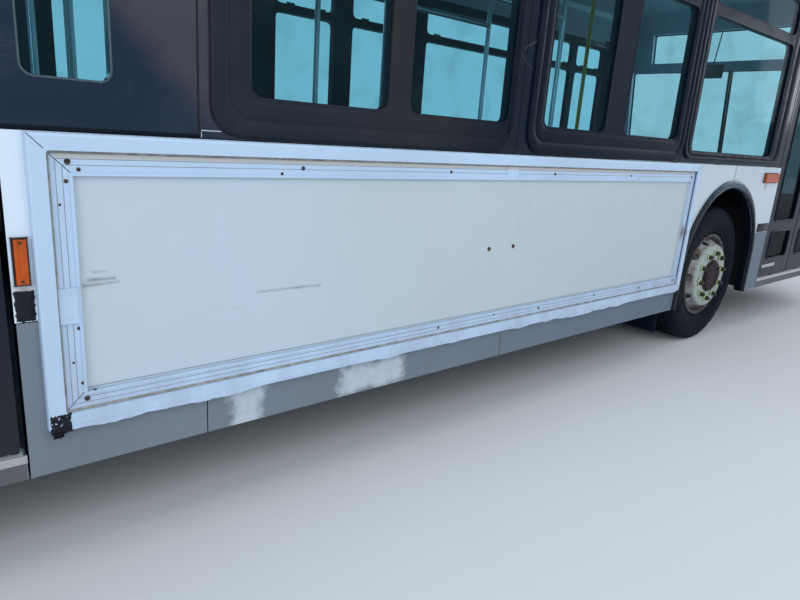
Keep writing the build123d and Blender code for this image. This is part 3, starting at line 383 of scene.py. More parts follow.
@finish(coat_weight=0.3, coat_roughness=0.15)
def side_white(f, c):
    """The panels' white, lighter by the exit behind the frame as a painted pool of light, with two rust
    stains.
    """
    # Painted light: a patch by the exit is lifted towards a paler white
    lit_and_clean = f.within((-1.03, -SIDE_Y, 0.8), (0.16, 0.1, 0.6), 0.12)
    colour = f.mix(lit_and_clean, weathered(f, c.paint, 0.28), tinted(c.paint, 1.12))
    wobble = f.ragged(0.03, 30, 3)
    stain = any_of(f.near((x, -SIDE_Y, z), 0.02, soft, wobble)
                   for x, z, soft in ((3.95, 1.155, 0.02), (-1.01, 0.875, 0.03)))
    f.colour(f.mix(stain * 0.7, colour, c.rust))
    # Painted shade on the panels' edges and backs
    shade_inside(f)
    f.bump(f.noise(260, 2) + f.noise(2.0, 2) * 3, 0.12, 0.0012)


@finish()
def ad_frame_paint(f, c):
    """The frames' white rails: chipped and rusty low down, with a tan band of painted shade under the
    top rail's lip.
    """
    low_edge = f.band(f.axis(2), 0.60, 0.47)
    chip = f.patches(0.66, 0.70, 24, 8, 0.75) * (0.15 + 0.85 * low_edge)
    rust = f.patches(0.70, 0.80, 14, 4, stretch=(1, 1, 0.15)) * 0.4
    wobble = f.ragged(0.05, 38, 4)
    spots = any_of(f.near((2.671, side * AD_Y, 0.856), radius, 0.03, wobble)
                   for side, radius in ((KERB, 0.035), (STREET, 0.03)))
    # Painted shade: a tan band in the recess under the top rail's lip
    lip_shade = f.within((0.88, 0, AD_HIGH.z - 0.0565), (1.80, 2, 0.0085), 0.004)
    # The rails' white is tinted bluer still: painted cool shade
    colour = weathered(f, tinted(c.paint, 0.87, 0.98, 1.13), 0.3, amount=0.35)
    colour = f.mix(lip_shade * 0.85, colour, (0.52, 0.49, 0.44))
    colour = f.mix(chip, colour, (0.30, 0.31, 0.32))
    f.colour(f.mix((rust * low_edge).most(spots * 0.85), colour, c.rust))
    wave = f.noise(0.9, 2, stretch=(1, 0, 0))
    f.bump(f.noise(180, 2) * 0.5 + wave * 6 - chip * 2, 0.18, 0.002)


# Scrapes on the boards: side, x, z, half length, half height, soft edge, raggedness, strength
SCRAPES = (
    (KERB, -0.823, 0.875, 0.046, 0.004, 0.009, 0.4, 1.0),
    (KERB, -0.820, 0.892, 0.036, 0.002, 0.007, 0.4, 1.0),
    (KERB, -0.820, 0.914, 0.020, 0.001, 0.006, 0.4, 0.5),
    (KERB, -0.205, 0.799, 0.125, 0.002, 0.007, 0.4, 1.0),
    (STREET, 0.8, 0.8, 0.4, 0.010, 0.010, 1.0, 1.0),
)


@finish()
def board_face(f, c):
    """The boards' off-white, bluer behind as painted light and darker ahead as painted shade, with
    drips, scrapes and scratches.
    """
    # Painted light and shade: bluer behind, darker ahead
    painted_light_tone = f.mix(f.band(f.axis(0), -1.0, 1.0), tinted(c.board, 0.97, 1.0, 1.10), c.board)
    painted_light_tone = f.mix(f.band(f.axis(0), 1.0, 2.8), painted_light_tone, tinted(c.board, 0.94))
    tone = f.mix(f.patches(0.3, 0.75, 0.7, 4, 0.6), painted_light_tone, tinted(c.board, 0.93))
    wobble = f.ragged(0.03, 20, 3)
    marks = any_of(
        f.within((x, side * SIDE_Y, z), (long, 0.3, tall), soft, wobble * rag) * strength
        for side, x, z, long, tall, soft, rag, strength in SCRAPES)
    dark = marks * f.patches(0.40, 0.55, 60, 5, stretch=(0.06, 1, 1))
    fine = scratches(f, 7, (0.12, 1, 2.5), 0.012)
    drips = f.patches(0.56, 0.75, 9, 3, stretch=(1.0, 1, 0.07)) * f.band(f.axis(2), 0.56, 1.15)
    colour = f.mix(dark * 0.85, tone, (0.10, 0.11, 0.125))
    colour = f.mix(fine * 0.15, colour, (0.42, 0.44, 0.46))
    f.colour(f.mix(drips * 0.10, colour, (0.32, 0.33, 0.30)))
    f.rough(0.27 + fine * 0.3 + f.noise(3, 3) * 0.10)
    f.bump(f.noise(0.8, 2) * 8 + f.noise(120, 2) * 0.2 - fine * 0.4, 0.12, 0.002)


@finish()
def skirt_grey(f, c):
    """The skirts' grey, darker ahead as painted shade, with two primer patches, dark under the doors.
    """
    colour = weathered(f, c.skirt, 0.42, low_z=0.3, high_z=0.6, amount=0.35)
    # Painted shade: the skirt darkens towards the front
    ahead = f.band(f.axis(0), -1.0, 2.8)
    colour = f.mix(ahead * 0.9, colour, tinted(c.skirt, 0.64, 0.72, 0.80))
    wobble = f.ragged(0.13, 16, 6, 0.7)
    primer = any_of(f.within((x, -SIDE_Y, z), (long, 0.3, tall), 0.03, wobble)
                    for x, z, long, tall in ((-0.36, 0.375, 0.055, 0.075), (0.20, 0.385, 0.16, 0.055)))
    primer = primer * (0.65 + f.noise(26, 4, 0.7) * 0.5)
    colour = f.mix(primer * 0.85, colour, (0.60, 0.66, 0.74))
    under_door = any_of(f.within((x, -SIDE_Y, 0.3), (long, 0.2, 0.115), 0.004)
                        for x, long in ((4.85, 0.655), (-1.64, 0.595)))
    f.colour(f.mix(under_door * 0.8, colour, (0.085, 0.078, 0.080)))
    # Painted shade on the panels' edges and backs
    shade_inside(f)
    f.bump(f.noise(2.1, 3, stretch=(1, 1, 0.6)) * 9 + f.noise(220, 2) * 0.3, 0.22, 0.002)


@finish(specular_ior_level=0.2)
def gloss_black(f, c):
    """The window band's black: smeared, paler in a slanting patch ahead of the exit, darker towards the
    front as painted shade.
    """
    dust = f.patches(0.45, 0.8, 3, 5, 0.65, stretch=(0.6, 1, 1.6), warp=0.6)
    fine = scratches(f, 9, (0.2, 1, 1.6), 0.01)
    colour = f.mix(dust * 0.22, c.black, (0.055, 0.065, 0.08))
    slope = f.axis(0) + f.axis(2) * 0.96 + f.ragged(0.12, 7, 4, 0.6)
    pale_wedge = f.band(slope, 0.72, 0.90) * f.within((-0.63, -SIDE_Y, 1.9), (0.24, 0.3, 0.62), 0.05)
    colour = f.mix(pale_wedge * 0.85, colour, (0.066, 0.060, 0.074))
    # Painted shade: the band darkens towards the front
    colour = f.mix(f.band(f.axis(0), 0.2, 1.0) * 0.8, colour, (0.002, 0.007, 0.018))
    f.colour(f.mix(fine * 0.3, colour, (0.12, 0.13, 0.14)))
    f.rough(0.12 + dust * 0.28 + fine * 0.2)
    f.bump(f.noise(1.4, 2) * 5, 0.06, 0.002)


@finish(specular_ior_level=0.15)
def leaf_black(f, c):
    smear = f.noise(4, 5, 0.65, stretch=(1, 1, 0.5))
    colour = f.mix(f.band(smear, 0.45, 0.8) * 0.5, (0.012, 0.016, 0.026), (0.036, 0.038, 0.048))
    f.colour(f.mix(f.band(f.axis(2), 0.85, 0.42) * 0.4, colour, (0.036, 0.034, 0.040)))
    f.rough(0.28 + smear * 0.2)
    f.bump(f.noise(1.8, 2) * 4, 0.06, 0.002)


@finish(specular_ior_level=0.09)
def rubber_black(f, c):
    dust = f.patches(0.42, 0.8, 12, 5, 0.7)
    base = f.mix(f.patches(0.45, 0.65, 0.9, 3), (0.018, 0.022, 0.032), (0.030, 0.027, 0.030))
    # Painted shade: the rubber darkens towards the front
    base = f.mix(f.band(f.axis(0), 0.2, 1.0), base, (0.003, 0.008, 0.019))
    f.colour(f.mix(dust * 0.25, base, (0.038, 0.044, 0.060)))
    f.rough(0.34 + dust * 0.3)
    f.grain(300, 2, 0.1, 0.0006)


@finish(specular_ior_level=0.25)
def flare_rubber(f, c):
    dust = f.patches(0.4, 0.8, 10, 5, 0.7)
    colour = f.mix(dust * 0.3, (0.006, 0.009, 0.015), (0.03, 0.034, 0.042))
    # Painted sky highlight: the rubber's top is lighter and bluer, more so where dusty
    top = f.band(f.axis(2), 1.02, 1.17)
    f.colour(f.mix(top * (0.35 + dust * 0.4), colour, (0.10, 0.16, 0.24)))
    f.rough(0.22 + dust * 0.4)
    f.grain(240, 2, 0.1, 0.0006)


def beside_axle(x):
    """How far a place is ahead of or behind the nearer axle."""
    return abs(x - AXLE_X["front"]).least(abs(x - AXLE_X["rear"]))


def from_axle(f):
    """How far a point is from the nearer axle's line."""
    across, up = beside_axle(f.axis(0)), f.axis(2) - AXLE_Z
    return (across * across + up * up) ** 0.5


@finish()
def wheel_paint(f, c):
    """White paint that is rusty at the hub's ring, grey with road dust out on the rim."""
    radius = from_axle(f)
    outer = f.band(radius, 0.19, 0.25)
    rust = f.band(f.noise(13, 8, 0.72) + outer * 0.05, 0.52, 0.64)
    lit_and_clean = f.mix(outer, (0.50, 0.52, 0.52), (0.13, 0.135, 0.145))
    colour = f.mix(f.patches(0.3, 0.75, 6, 5, 0.6) * 0.45, lit_and_clean, (0.10, 0.085, 0.080))
    colour = f.mix(rust * 0.85, colour, f.mix(f.noise(50, 3), c.rust, (0.06, 0.03, 0.018)))
    flange = f.band(radius, 0.276, 0.288) * (0.75 + f.noise(20, 4) * 0.2)
    f.colour(f.mix(flange, colour, (0.030, 0.026, 0.032)))
    f.rough(0.45 + rust * 0.4)
    f.bump(f.noise(70, 5) * 0.6 - rust * 0.6, 0.4, 0.001)


@finish()
def face_white(f, c):
    """White paint of the disc that carries the nuts, grimy round them, worn on its cone."""
    rust = f.patches(0.60, 0.68, 24, 8, 0.75)
    colour = f.mix(f.patches(0.42, 0.72, 11, 6, 0.7) * 0.6, (0.40, 0.44, 0.42), (0.17, 0.19, 0.165))
    brown = f.mix(f.noise(40, 4), (0.16, 0.10, 0.085), (0.06, 0.035, 0.03))
    cone = f.mix(f.patches(0.40, 0.60, 9, 7, 0.7), (0.34, 0.35, 0.38), brown)
    colour = f.mix(f.band(from_axle(f), 0.229, 0.236), colour, cone)
    f.colour(f.mix(rust * 0.8, colour, (0.12, 0.06, 0.035)))
    f.rough(0.45 + rust * 0.3)
    f.grain(90, 4, 0.25, 0.0008)


@finish()
def nut_steel(f, c):
    rust = f.patches(0.48, 0.66, 60, 5, 0.7)
    f.colour(f.mix(rust, (0.030, 0.034, 0.034), (0.10, 0.055, 0.035)))
    f.set("Metallic", 0.4 - rust * 0.3)
    f.rough(0.35 + rust * 0.45)
    f.grain(140, 3, 0.3, 0.0004)


def clear_sheet(f, body, tint, rough, clarity):
    """Tinted glass as a sheet: what lies behind is seen straight through it."""
    through = f.node("ShaderNodeBsdfTransparent", {}, {"Color": tint})
    film = f.patches(0.45, 0.85, 2.4, 3, 0.6, warp=0.5)
    f.surface(clarity - film * 0.12, f.shader, through)
    f.rough(rough + film * 0.15)
    f.colour(body)


@finish()
def side_glazing(f, c):
    clear_sheet(f, (0.02, 0.05, 0.06), c.glass, 0.04, 0.90)


@finish()
def door_glazing(f, c):
    clear_sheet(f, (0.015, 0.03, 0.035), [x ** 1.5 * 0.36 for x in c.glass], 0.05, 0.86)


@finish()
def screen_glazing(f, c):
    clear_sheet(f, (0.02, 0.04, 0.045), [x ** 0.5 for x in c.glass], 0.03, 0.92)


@finish()
def lens_clear(f, c):
    clear_sheet(f, (0.30, 0.33, 0.35), (0.88, 0.93, 0.95), 0.05, 0.82)
    f.bump(f.flutes("Y", 30.0), 0.3, 0.002)


LENS = {"roughness": 0.18, "coat_weight": 0.05, "coat_roughness": 0.05, "specular_ior_level": 0.25}


def lens(f, colour):
    f.colour(f.mix(f.noise(30, 3), colour, tinted(colour, 0.55)))
    f.bump(f.flutes("X", 26.0), 0.35, 0.002)


@finish(**LENS)
def lens_amber(f, c):
    lens(f, c.amber)


@finish(**LENS)
def lens_red(f, c):
    lens(f, (0.42, 0.008, 0.006))


@finish(roughness=0.75, specular_ior_level=0.15)
def chassis_dark(f, c):
    colour = f.mix(f.patches(0.35, 0.7, 5, 6, 0.7) * 0.5, (0.010, 0.012, 0.015), (0.060, 0.055, 0.050))
    f.colour(f.mix(f.patches(0.56, 0.7, 11, 7, 0.75) * 0.4, colour, c.rust))
    f.grain(40, 5, 0.3, 0.001)


@finish(roughness=0.6, specular_ior_level=0.12)
def floor_rubber(f, c):
    """Speckled rubber above; the wheel houses and the faces turned down are painted near-black as
    shade.
    """
    colour = f.mix(f.patches(0.35, 0.7, 1.8, 5) * 0.5, (0.085, 0.09, 0.10), (0.16, 0.155, 0.145))
    colour = f.mix(f.band(f.cells(160), 0.28, 0.12) * 0.5, colour, (0.32, 0.33, 0.34))
    x, y, z = f.parts(f.place())
    house = (abs(x - AXLE_X["front"]) < 0.634).most(abs(x - AXLE_X["rear"]) < 0.604)
    house = house * (abs(y) > 0.556) * (z < 1.144)
    # Painted shade: near-black on the wheel houses and on faces turned down
    shade_below = f.mix(f.noise(9, 6, 0.7), (0.004, 0.006, 0.009), (0.022, 0.022, 0.024))
    f.colour(f.mix(house.most(f.facing(2) < -0.5), colour, shade_below))
    f.grain(150, 2, 0.15, 0.0006)


@finish(roughness=0.9, sheen_weight=0.3)
def seat_cloth(f, c):
    colour = f.mix(f.patches(0.4, 0.8, 6, 4) * 0.4, (0.035, 0.075, 0.17), (0.075, 0.11, 0.19))
    f.colour(f.mix(f.band(f.cells(70), 0.20, 0.10) * 0.7, colour, (0.30, 0.10, 0.12)))
    f.bump(f.cells(420), 0.5, 0.0008)


@finish(base_color=(0.56, 0.57, 0.58), metallic=1.0)
def stainless(f, c):
    brushed = f.noise(220, 3, stretch=(1, 1, 0.02))
    f.rough(0.20 + brushed * 0.2)
    f.bump(brushed, 0.08, 0.0004)


@finish(roughness=0.55)
def console_plastic(f, c):
    f.colour(f.mix(f.patches(0.45, 0.8, 7, 4) * 0.3, (0.03, 0.032, 0.036), (0.12, 0.12, 0.12)))
    f.bump(f.cells(380), 0.2, 0.0006)


@finish()
def roof_white(f, c):
    stain = f.patches(0.4, 0.75, 1.6, 6, 0.65, stretch=(0.5, 1, 1))
    streak = f.patches(0.5, 0.8, 7, 4, stretch=(1, 0.2, 0.2))
    colour = f.mix(stain * 0.35, tinted(c.paint, 1.02), (0.36, 0.35, 0.32))
    f.colour(f.mix(streak * 0.25, colour, (0.28, 0.27, 0.25)))
    f.rough(0.35 + stain * 0.3)
    f.bump(f.noise(1.2, 3) * 6 + f.noise(150, 2) * 0.3, 0.15, 0.002)


@finish(roughness=0.6, specular_ior_level=0.2)
def tape_black(f, c):
    f.colour(f.mix(f.noise(30, 4), (0.004, 0.006, 0.010), (0.018, 0.020, 0.026)))
    f.bump(f.noise(55, 5, warp=1.0), 0.8, 0.002)


@finish(base_color=(0.85, 0.88, 0.9), metallic=1.0)
def mirror_glass(f, c):
    f.rough(0.03 + f.patches(0.5, 0.8, 8, 4) * 0.1)


@finish(roughness=0.8)
def old_caulk(f, c):
    """Grimy sealant; on the frame's front rail its dark blue is painted shade."""
    grime = f.mix(f.patches(0.35, 0.7, 30, 5), (0.36, 0.35, 0.33), (0.20, 0.185, 0.165))
    # Painted shade: the sealant in the front rail's recess is dark blue
    front_rail_shade = (f.axis(0) > AD_HIGH.x - 0.06) * (f.axis(2) > 0.56)
    f.colour(f.mix(front_rail_shade, grime, (0.03, 0.05, 0.085)))
    f.grain(160, 3, 0.4, 0.0006)


# The parts of the construction that take each finish
PARTS = {
    "side_white": ("side_panels",), "panel_white": ("front_mask", "rear_cap", "engine_door"),
    "roof_white": ("roof", "roof_hatch_front", "roof_hatch_rear"),
    "gloss_black": ("window_bands", "screen_pillar"), "skirt_grey": ("skirts",),
    "ad_frame_paint": ("ad_frames",), "board_face": ("ad_boards",), "flare_rubber": ("arch_flares",),
    "rubber_black": ("window_frames", "bumpers", "mirrors", "wipers"),
    "side_glazing": ("side_glass",), "screen_glazing": ("end_glass",),
    "lens_clear": ("lamps_clear",), "lens_amber": ("lamps_amber",), "lens_red": ("lamps_red",),
    "chassis_dark": ("underframe", "axles", "knuckle_right", "knuckle_left", "entry_arm_rear",
                     "entry_arm_front"),
    "floor_rubber": ("floor",), "console_plastic": ("dashboard",), "seat_shell": ("seats",),
    "stainless": ("stanchions",), "engine_iron": ("engine",),
}
NODE_FINISH = {node: finish for finish, nodes in PARTS.items() for node in nodes}
for door in ("entry", "exit"):
    for end in ENDS:
        NODE_FINISH[f"{door}_leaf_{end}"] = "leaf_black"
        NODE_FINISH[f"{door}_glass_{end}"] = "door_glazing"
for end in ENDS:
    for hand in ("right", "left"):
        NODE_FINISH[f"tyres_{end}_{hand}"] = "tyre_rubber"
        NODE_FINISH[f"wheels_{end}_{hand}"] = "wheel_paint"


def in_scene(name, data):
    """A new object of the scene."""
    obj = bpy.data.objects.new(name, data)
    bpy.context.scene.collection.objects.link(obj)
    return obj


class Shape:
    """A mesh under construction, in the bus's own coordinates."""

    def __init__(self):
        self.bm = bmesh.new()

    def box(self, lowest, highest, bevel=0.0):
        lowest, highest = Vector(lowest), Vector(highest)
        made = bmesh.ops.create_cube(self.bm, size=1.0)
        size = highest - lowest
        for v in made["verts"]:
            v.co = (lowest + highest) / 2 + Vector([c * s for c, s in zip(v.co, size)])
        if bevel:
            edges = list(dict.fromkeys(e for v in made["verts"] for e in v.link_edges))
            bmesh.ops.bevel(self.bm, geom=edges, offset=bevel, segments=2,
                            affect="EDGES", profile=0.5)
        return self

    def turned(self, profile, centre, axis=(0, 1, 0), steps=32, closed=False):
        """Turn (along, radius) points round an axis through a centre."""
        axis = Vector(axis).normalized()
        side = axis.orthogonal().normalized()
        up = axis.cross(side)
        rings = []
        for along, radius in profile:
            ring = []
            for k in range(steps if radius > 1e-6 else 1):
                turn = 2 * math.pi * k / steps
                out = side * math.cos(turn) + up * math.sin(turn)
                ring.append(self.bm.verts.new(Vector(centre) + axis * along + out * radius))
            rings.append(ring)
        for one, two in zip(rings, rings[1:] + (rings[:1] if closed else [])):
            for k in range(steps):
                corners = [one[k % len(one)], one[(k + 1) % len(one)],
                           two[(k + 1) % len(two)], two[k % len(two)]]
                unique = list(dict.fromkeys(corners))
                if len(unique) > 2:
                    self.bm.faces.new(unique)
        if not closed and profile[0][0] != profile[-1][0]:
            for ring in (rings[0], rings[-1]):
                if len(ring) > 2:
                    self.bm.faces.new(ring)
        return self

    def tube(self, points, radius, sides=8, closed=False):
        """A round bead along points."""
        points = [Vector(p) for p in points]
        count = len(points)
        angles = [2 * math.pi * k / sides for k in range(sides)]
        rings = []
        up = None
        for i, p in enumerate(points):
            before = points[i - 1] if closed or i else p
            after = points[(i + 1) % count] if closed or i < count - 1 else p
            along = (after - before).normalized()
            if up is None:
                up = along.orthogonal().normalized()
            up = (up - along * up.dot(along)).normalized()
            across = along.cross(up)
            rings.append([p + (up * math.cos(a) + across * math.sin(a)) * radius for a in angles])
        return self.sweep(rings, closed)

    def sweep(self, sections, closed=False):
        """Skin a list of equal rings of points."""
        rings = [[self.bm.verts.new(Vector(p)) for p in section] for section in sections]
        pairs = list(zip(rings, rings[1:])) + ([(rings[-1], rings[0])] if closed else [])
        count = len(rings[0])
        for one, two in pairs:
            for k in range(count):
                self.bm.faces.new((one[k], one[(k + 1) % count], two[(k + 1) % count], two[k]))
        if not closed:
            self.bm.faces.new(rings[0][::-1])
            self.bm.faces.new(rings[-1])
        return self

    def mesh(self, name, outward=True):
        """Hand the shape over as a mesh, its faces turned outward."""
        if outward:
            bmesh.ops.recalc_face_normals(self.bm, faces=self.bm.faces)
        mesh = bpy.data.meshes.new(name)
        self.bm.to_mesh(mesh)
        self.bm.free()
        return mesh

    def minus(self, tool):
        """Take another closed shape away."""
        objects = [in_scene("cut", shape.mesh("cut")) for shape in (self, tool)]
        cut = objects[0].modifiers.new("cut", "BOOLEAN")
        cut.object = objects[1]
        cut.operation = "DIFFERENCE"
        cut.solver = "EXACT"
        self.bm = bmesh.new()
        self.bm.from_object(objects[0], bpy.context.evaluated_depsgraph_get())
        for obj in objects:
            mesh = obj.data
            bpy.data.objects.remove(obj)
            bpy.data.meshes.remove(mesh)
        return self

    def piece(self, name, finish, smooth, body="chassis", replaces=()):
        """Make the mesh a piece of the bus; edges sharper than smooth degrees stay sharp."""
        mesh = self.mesh(name)
        obj = in_scene(name, mesh)
        mesh.materials.append(finish_named(finish))
        if smooth:
            mesh.shade_smooth()
            mesh.set_sharp_from_angle(angle=math.radians(smooth))
        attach(obj, body)
        if replaces:
            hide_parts(*replaces)


def rounded_loop(a0, a1, b0, b1, radius, steps):
    """Points of a rounded rectangle, in order, as (a, b)."""
    points = []
    for ca, cb, start in ((a1 - radius, b1 - radius, 0), (a0 + radius, b1 - radius, 90),
                          (a0 + radius, b0 + radius, 180), (a1 - radius, b0 + radius, 270)):
        for k in range(steps + 1):
            turn = math.radians(start + 90 * k / steps)
            points.append((ca + radius * math.cos(turn), cb + radius * math.sin(turn)))
    return points


def wall_loop(side, y, x0, x1, z0, z1, radius, steps=7):
    """A rounded rectangle that stands along the bus at a distance from its middle."""
    return [(x, side * y, z) for x, z in rounded_loop(x0, x1, z0, z1, radius, steps)]


def spoke(turn):
    """The unit vector at an angle from straight up, square to the axles."""
    return Vector((math.sin(turn), 0, math.cos(turn)))


class BUS_OT_stage(bpy.types.Operator):
    """Floor, backdrop, lights and the camera where the photographer stood"""
    bl_idname = "bus.stage"
    bl_label = "Stage"

    CAMERA_AT = (-1.287, -3.113, 1.3505)
    CAMERA_TURN = (74.80, -3.942, -40.038)
    LENS_MM = 27.62
    SENSOR_MM = 36.0
    PALE = (0.74, 0.755, 0.77)
    BACKDROP = (0.84, 0.87, 0.90)
    SKY = (0.82, 0.92, 1.05)
    SKY_STRENGTH = 0.50
    GROUND_R = 60
    GROUND_DROP = 0.001
    LIT_AT = Vector((0, 0, 1.2))
    # Name, place, size, power and colour
    LAMPS = (
        ("key", (1.0, -9.0, 6.5), 7.0, 255, (0.93, 0.98, 1.0)),
        ("fill", (-7.0, -5.5, 4.0), 5.0, 255, (0.90, 0.96, 1.0)),
        ("front", (13.0, -2.0, 5.0), 6.0, 230, (0.95, 0.98, 1.0)),
        ("street", (0.0, 10.0, 6.5), 8.0, 360, (0.93, 0.98, 1.0)),
        ("top", (0.0, 0.0, 10.0), 9.0, 280, (0.95, 0.98, 1.0)),
    )

    def execute(self, context):
        self.sky(context)
        self.ground()
        for name, at, size, power, colour in self.LAMPS:
            lamp = bpy.data.lights.new(name, "AREA")
            lamp.size = size
            lamp.energy = power
            lamp.color = colour
            obj = in_scene(name, lamp)
            obj.location = at
            obj.rotation_euler = (self.LIT_AT - Vector(at)).to_track_quat("-Z", "Y").to_euler()
        camera = bpy.data.cameras.new("camera")
        camera.lens = self.LENS_MM
        camera.sensor_width = self.SENSOR_MM
        camera.sensor_fit = "HORIZONTAL"
        camera.clip_start, camera.clip_end = 0.02, 200
        obj = in_scene("camera", camera)
        obj.location = self.CAMERA_AT
        obj.rotation_euler = [math.radians(t) for t in self.CAMERA_TURN]
        context.scene.camera = obj
        context.scene.view_settings.view_transform = "Standard"
        return {"FINISHED"}

    def sky(self, context):
        """A soft sky that lights the bus, seen by the camera as a plain backdrop."""
        world = bpy.data.worlds.new("sky")
        context.scene.world = world
        world.use_nodes = True
        tree = world.node_tree
        tree.nodes.clear()
        mixed = tree.nodes.new("ShaderNodeMixShader")
        path = tree.nodes.new("ShaderNodeLightPath")
        tree.links.new(path.outputs["Is Camera Ray"], mixed.inputs[0])
        for slot, colour, strength in ((1, self.SKY, self.SKY_STRENGTH), (2, self.BACKDROP, 1.0)):
            light = tree.nodes.new("ShaderNodeBackground")
            light.inputs["Color"].default_value = (*colour, 1)
            light.inputs["Strength"].default_value = strength
            tree.links.new(light.outputs[0], mixed.inputs[slot])
        out = tree.nodes.new("ShaderNodeOutputWorld")
        tree.links.new(mixed.outputs[0], out.inputs[0])

    def ground(self):
        """A pale floor that fades into the backdrop far away."""
        shape = Shape()
        shape.turned([(0, 0), (0, self.GROUND_R)], (0, 0, GROUND_Z - self.GROUND_DROP), (0, 0, 1), 96)
        ground = in_scene("ground", shape.mesh("ground", outward=False))
        f = Finish("ground_pale", roughness=0.8, emission_strength=1.0)
        f.colour(f.mix(f.noise(2, 4), self.PALE, tinted(self.PALE, 0.97)))
        far = f.band(f.vector("LENGTH", f.place()), 7.0, 26.0)
        f.set("Emission Color", f.mix(far, (0, 0, 0), tinted(self.BACKDROP, 0.62)))
        ground.data.materials.append(f.mat)


class BUS_OT_paint(bpy.types.Operator):
    """Give every part of the construction its finish"""
    bl_idname = "bus.paint"
    bl_label = "Paint"

    def execute(self, context):
        for node, obj in NODES.items():
            obj.data.materials.clear()
            obj.data.materials.append(finish_named(NODE_FINISH[node]))
        return {"FINISHED"}


def wheel_bodies():
    """Each wheel body with its side, its middle's x and whether it is a pair."""
    for end in ENDS:
        for side, name in ((KERB, "right"), (STREET, "left")):
            yield f"{end}_{name}", side, AXLE_X[end], end == "rear"


class BUS_OT_tyres(bpy.types.Operator):
    """Ribbed tyres with notched shoulders over the plain ones"""
    bl_idname = "bus.tyres"
    bl_label = "Tyres"

    OUTER_Y, INNER_Y = 1.080, 0.745
    # Half the outline from its bead to the shoulder: (from the middle, radius)
    SIDEWALL = (
        (0.104, 0.288), (0.107, 0.303), (0.124, 0.316), (0.136, 0.346), (0.1425, 0.372),
        (0.1435, 0.376), (0.1445, 0.400), (0.1450, 0.412), (0.1436, 0.430), (0.1405, 0.434),
        (0.1400, 0.448), (0.1370, 0.462), (0.1320, 0.476), (0.1250, 0.4875), (0.1150, 0.4945),
        (0.1040, 0.4975),
    )
    GROOVES = (0.068, 0.023, -0.023, -0.068)
    # A groove's edges and floor: (from its middle, radius)
    GROOVE = ((0.0070, 0.498), (0.0045, 0.486), (-0.0045, 0.486), (-0.0070, 0.498))
    STEPS = 144
    # Every sixth step is a notch in the shoulder between these distances from the middle
    NOTCH_EVERY, NOTCH_FROM, NOTCH_TO, NOTCH_DEPTH = 6, 0.110, 0.134, 0.006

    def ring(self, k, centre, side):
        """The tyre's outline at one step round its axle, as (x, y, z) points."""
        line = list(self.SIDEWALL)
        line += [(at + off, radius) for at in self.GROOVES for off, radius in self.GROOVE]
        line += [(-u, r) for u, r in reversed(self.SIDEWALL)]
        turn = 2 * math.pi * k / self.STEPS
        points = []
        for u, r in line:
            if k % self.NOTCH_EVERY == 0 and self.NOTCH_FROM < abs(u) < self.NOTCH_TO:
                r -= self.NOTCH_DEPTH
            points.append((centre[0] + r * math.sin(turn), side * centre[1] + u,
                           AXLE_Z + r * math.cos(turn)))
        return points

    def execute(self, context):
        for name, side, x, pair in wheel_bodies():
            shape = Shape()
            for y in ((self.OUTER_Y, self.INNER_Y) if pair else (self.OUTER_Y,)):
                shape.sweep([self.ring(k, (x, y), side) for k in range(self.STEPS)], closed=True)
            shape.piece("tread_" + name, "tyre_rubber", 28, "wheel_" + name, ("tyres_" + name,))
        return {"FINISHED"}


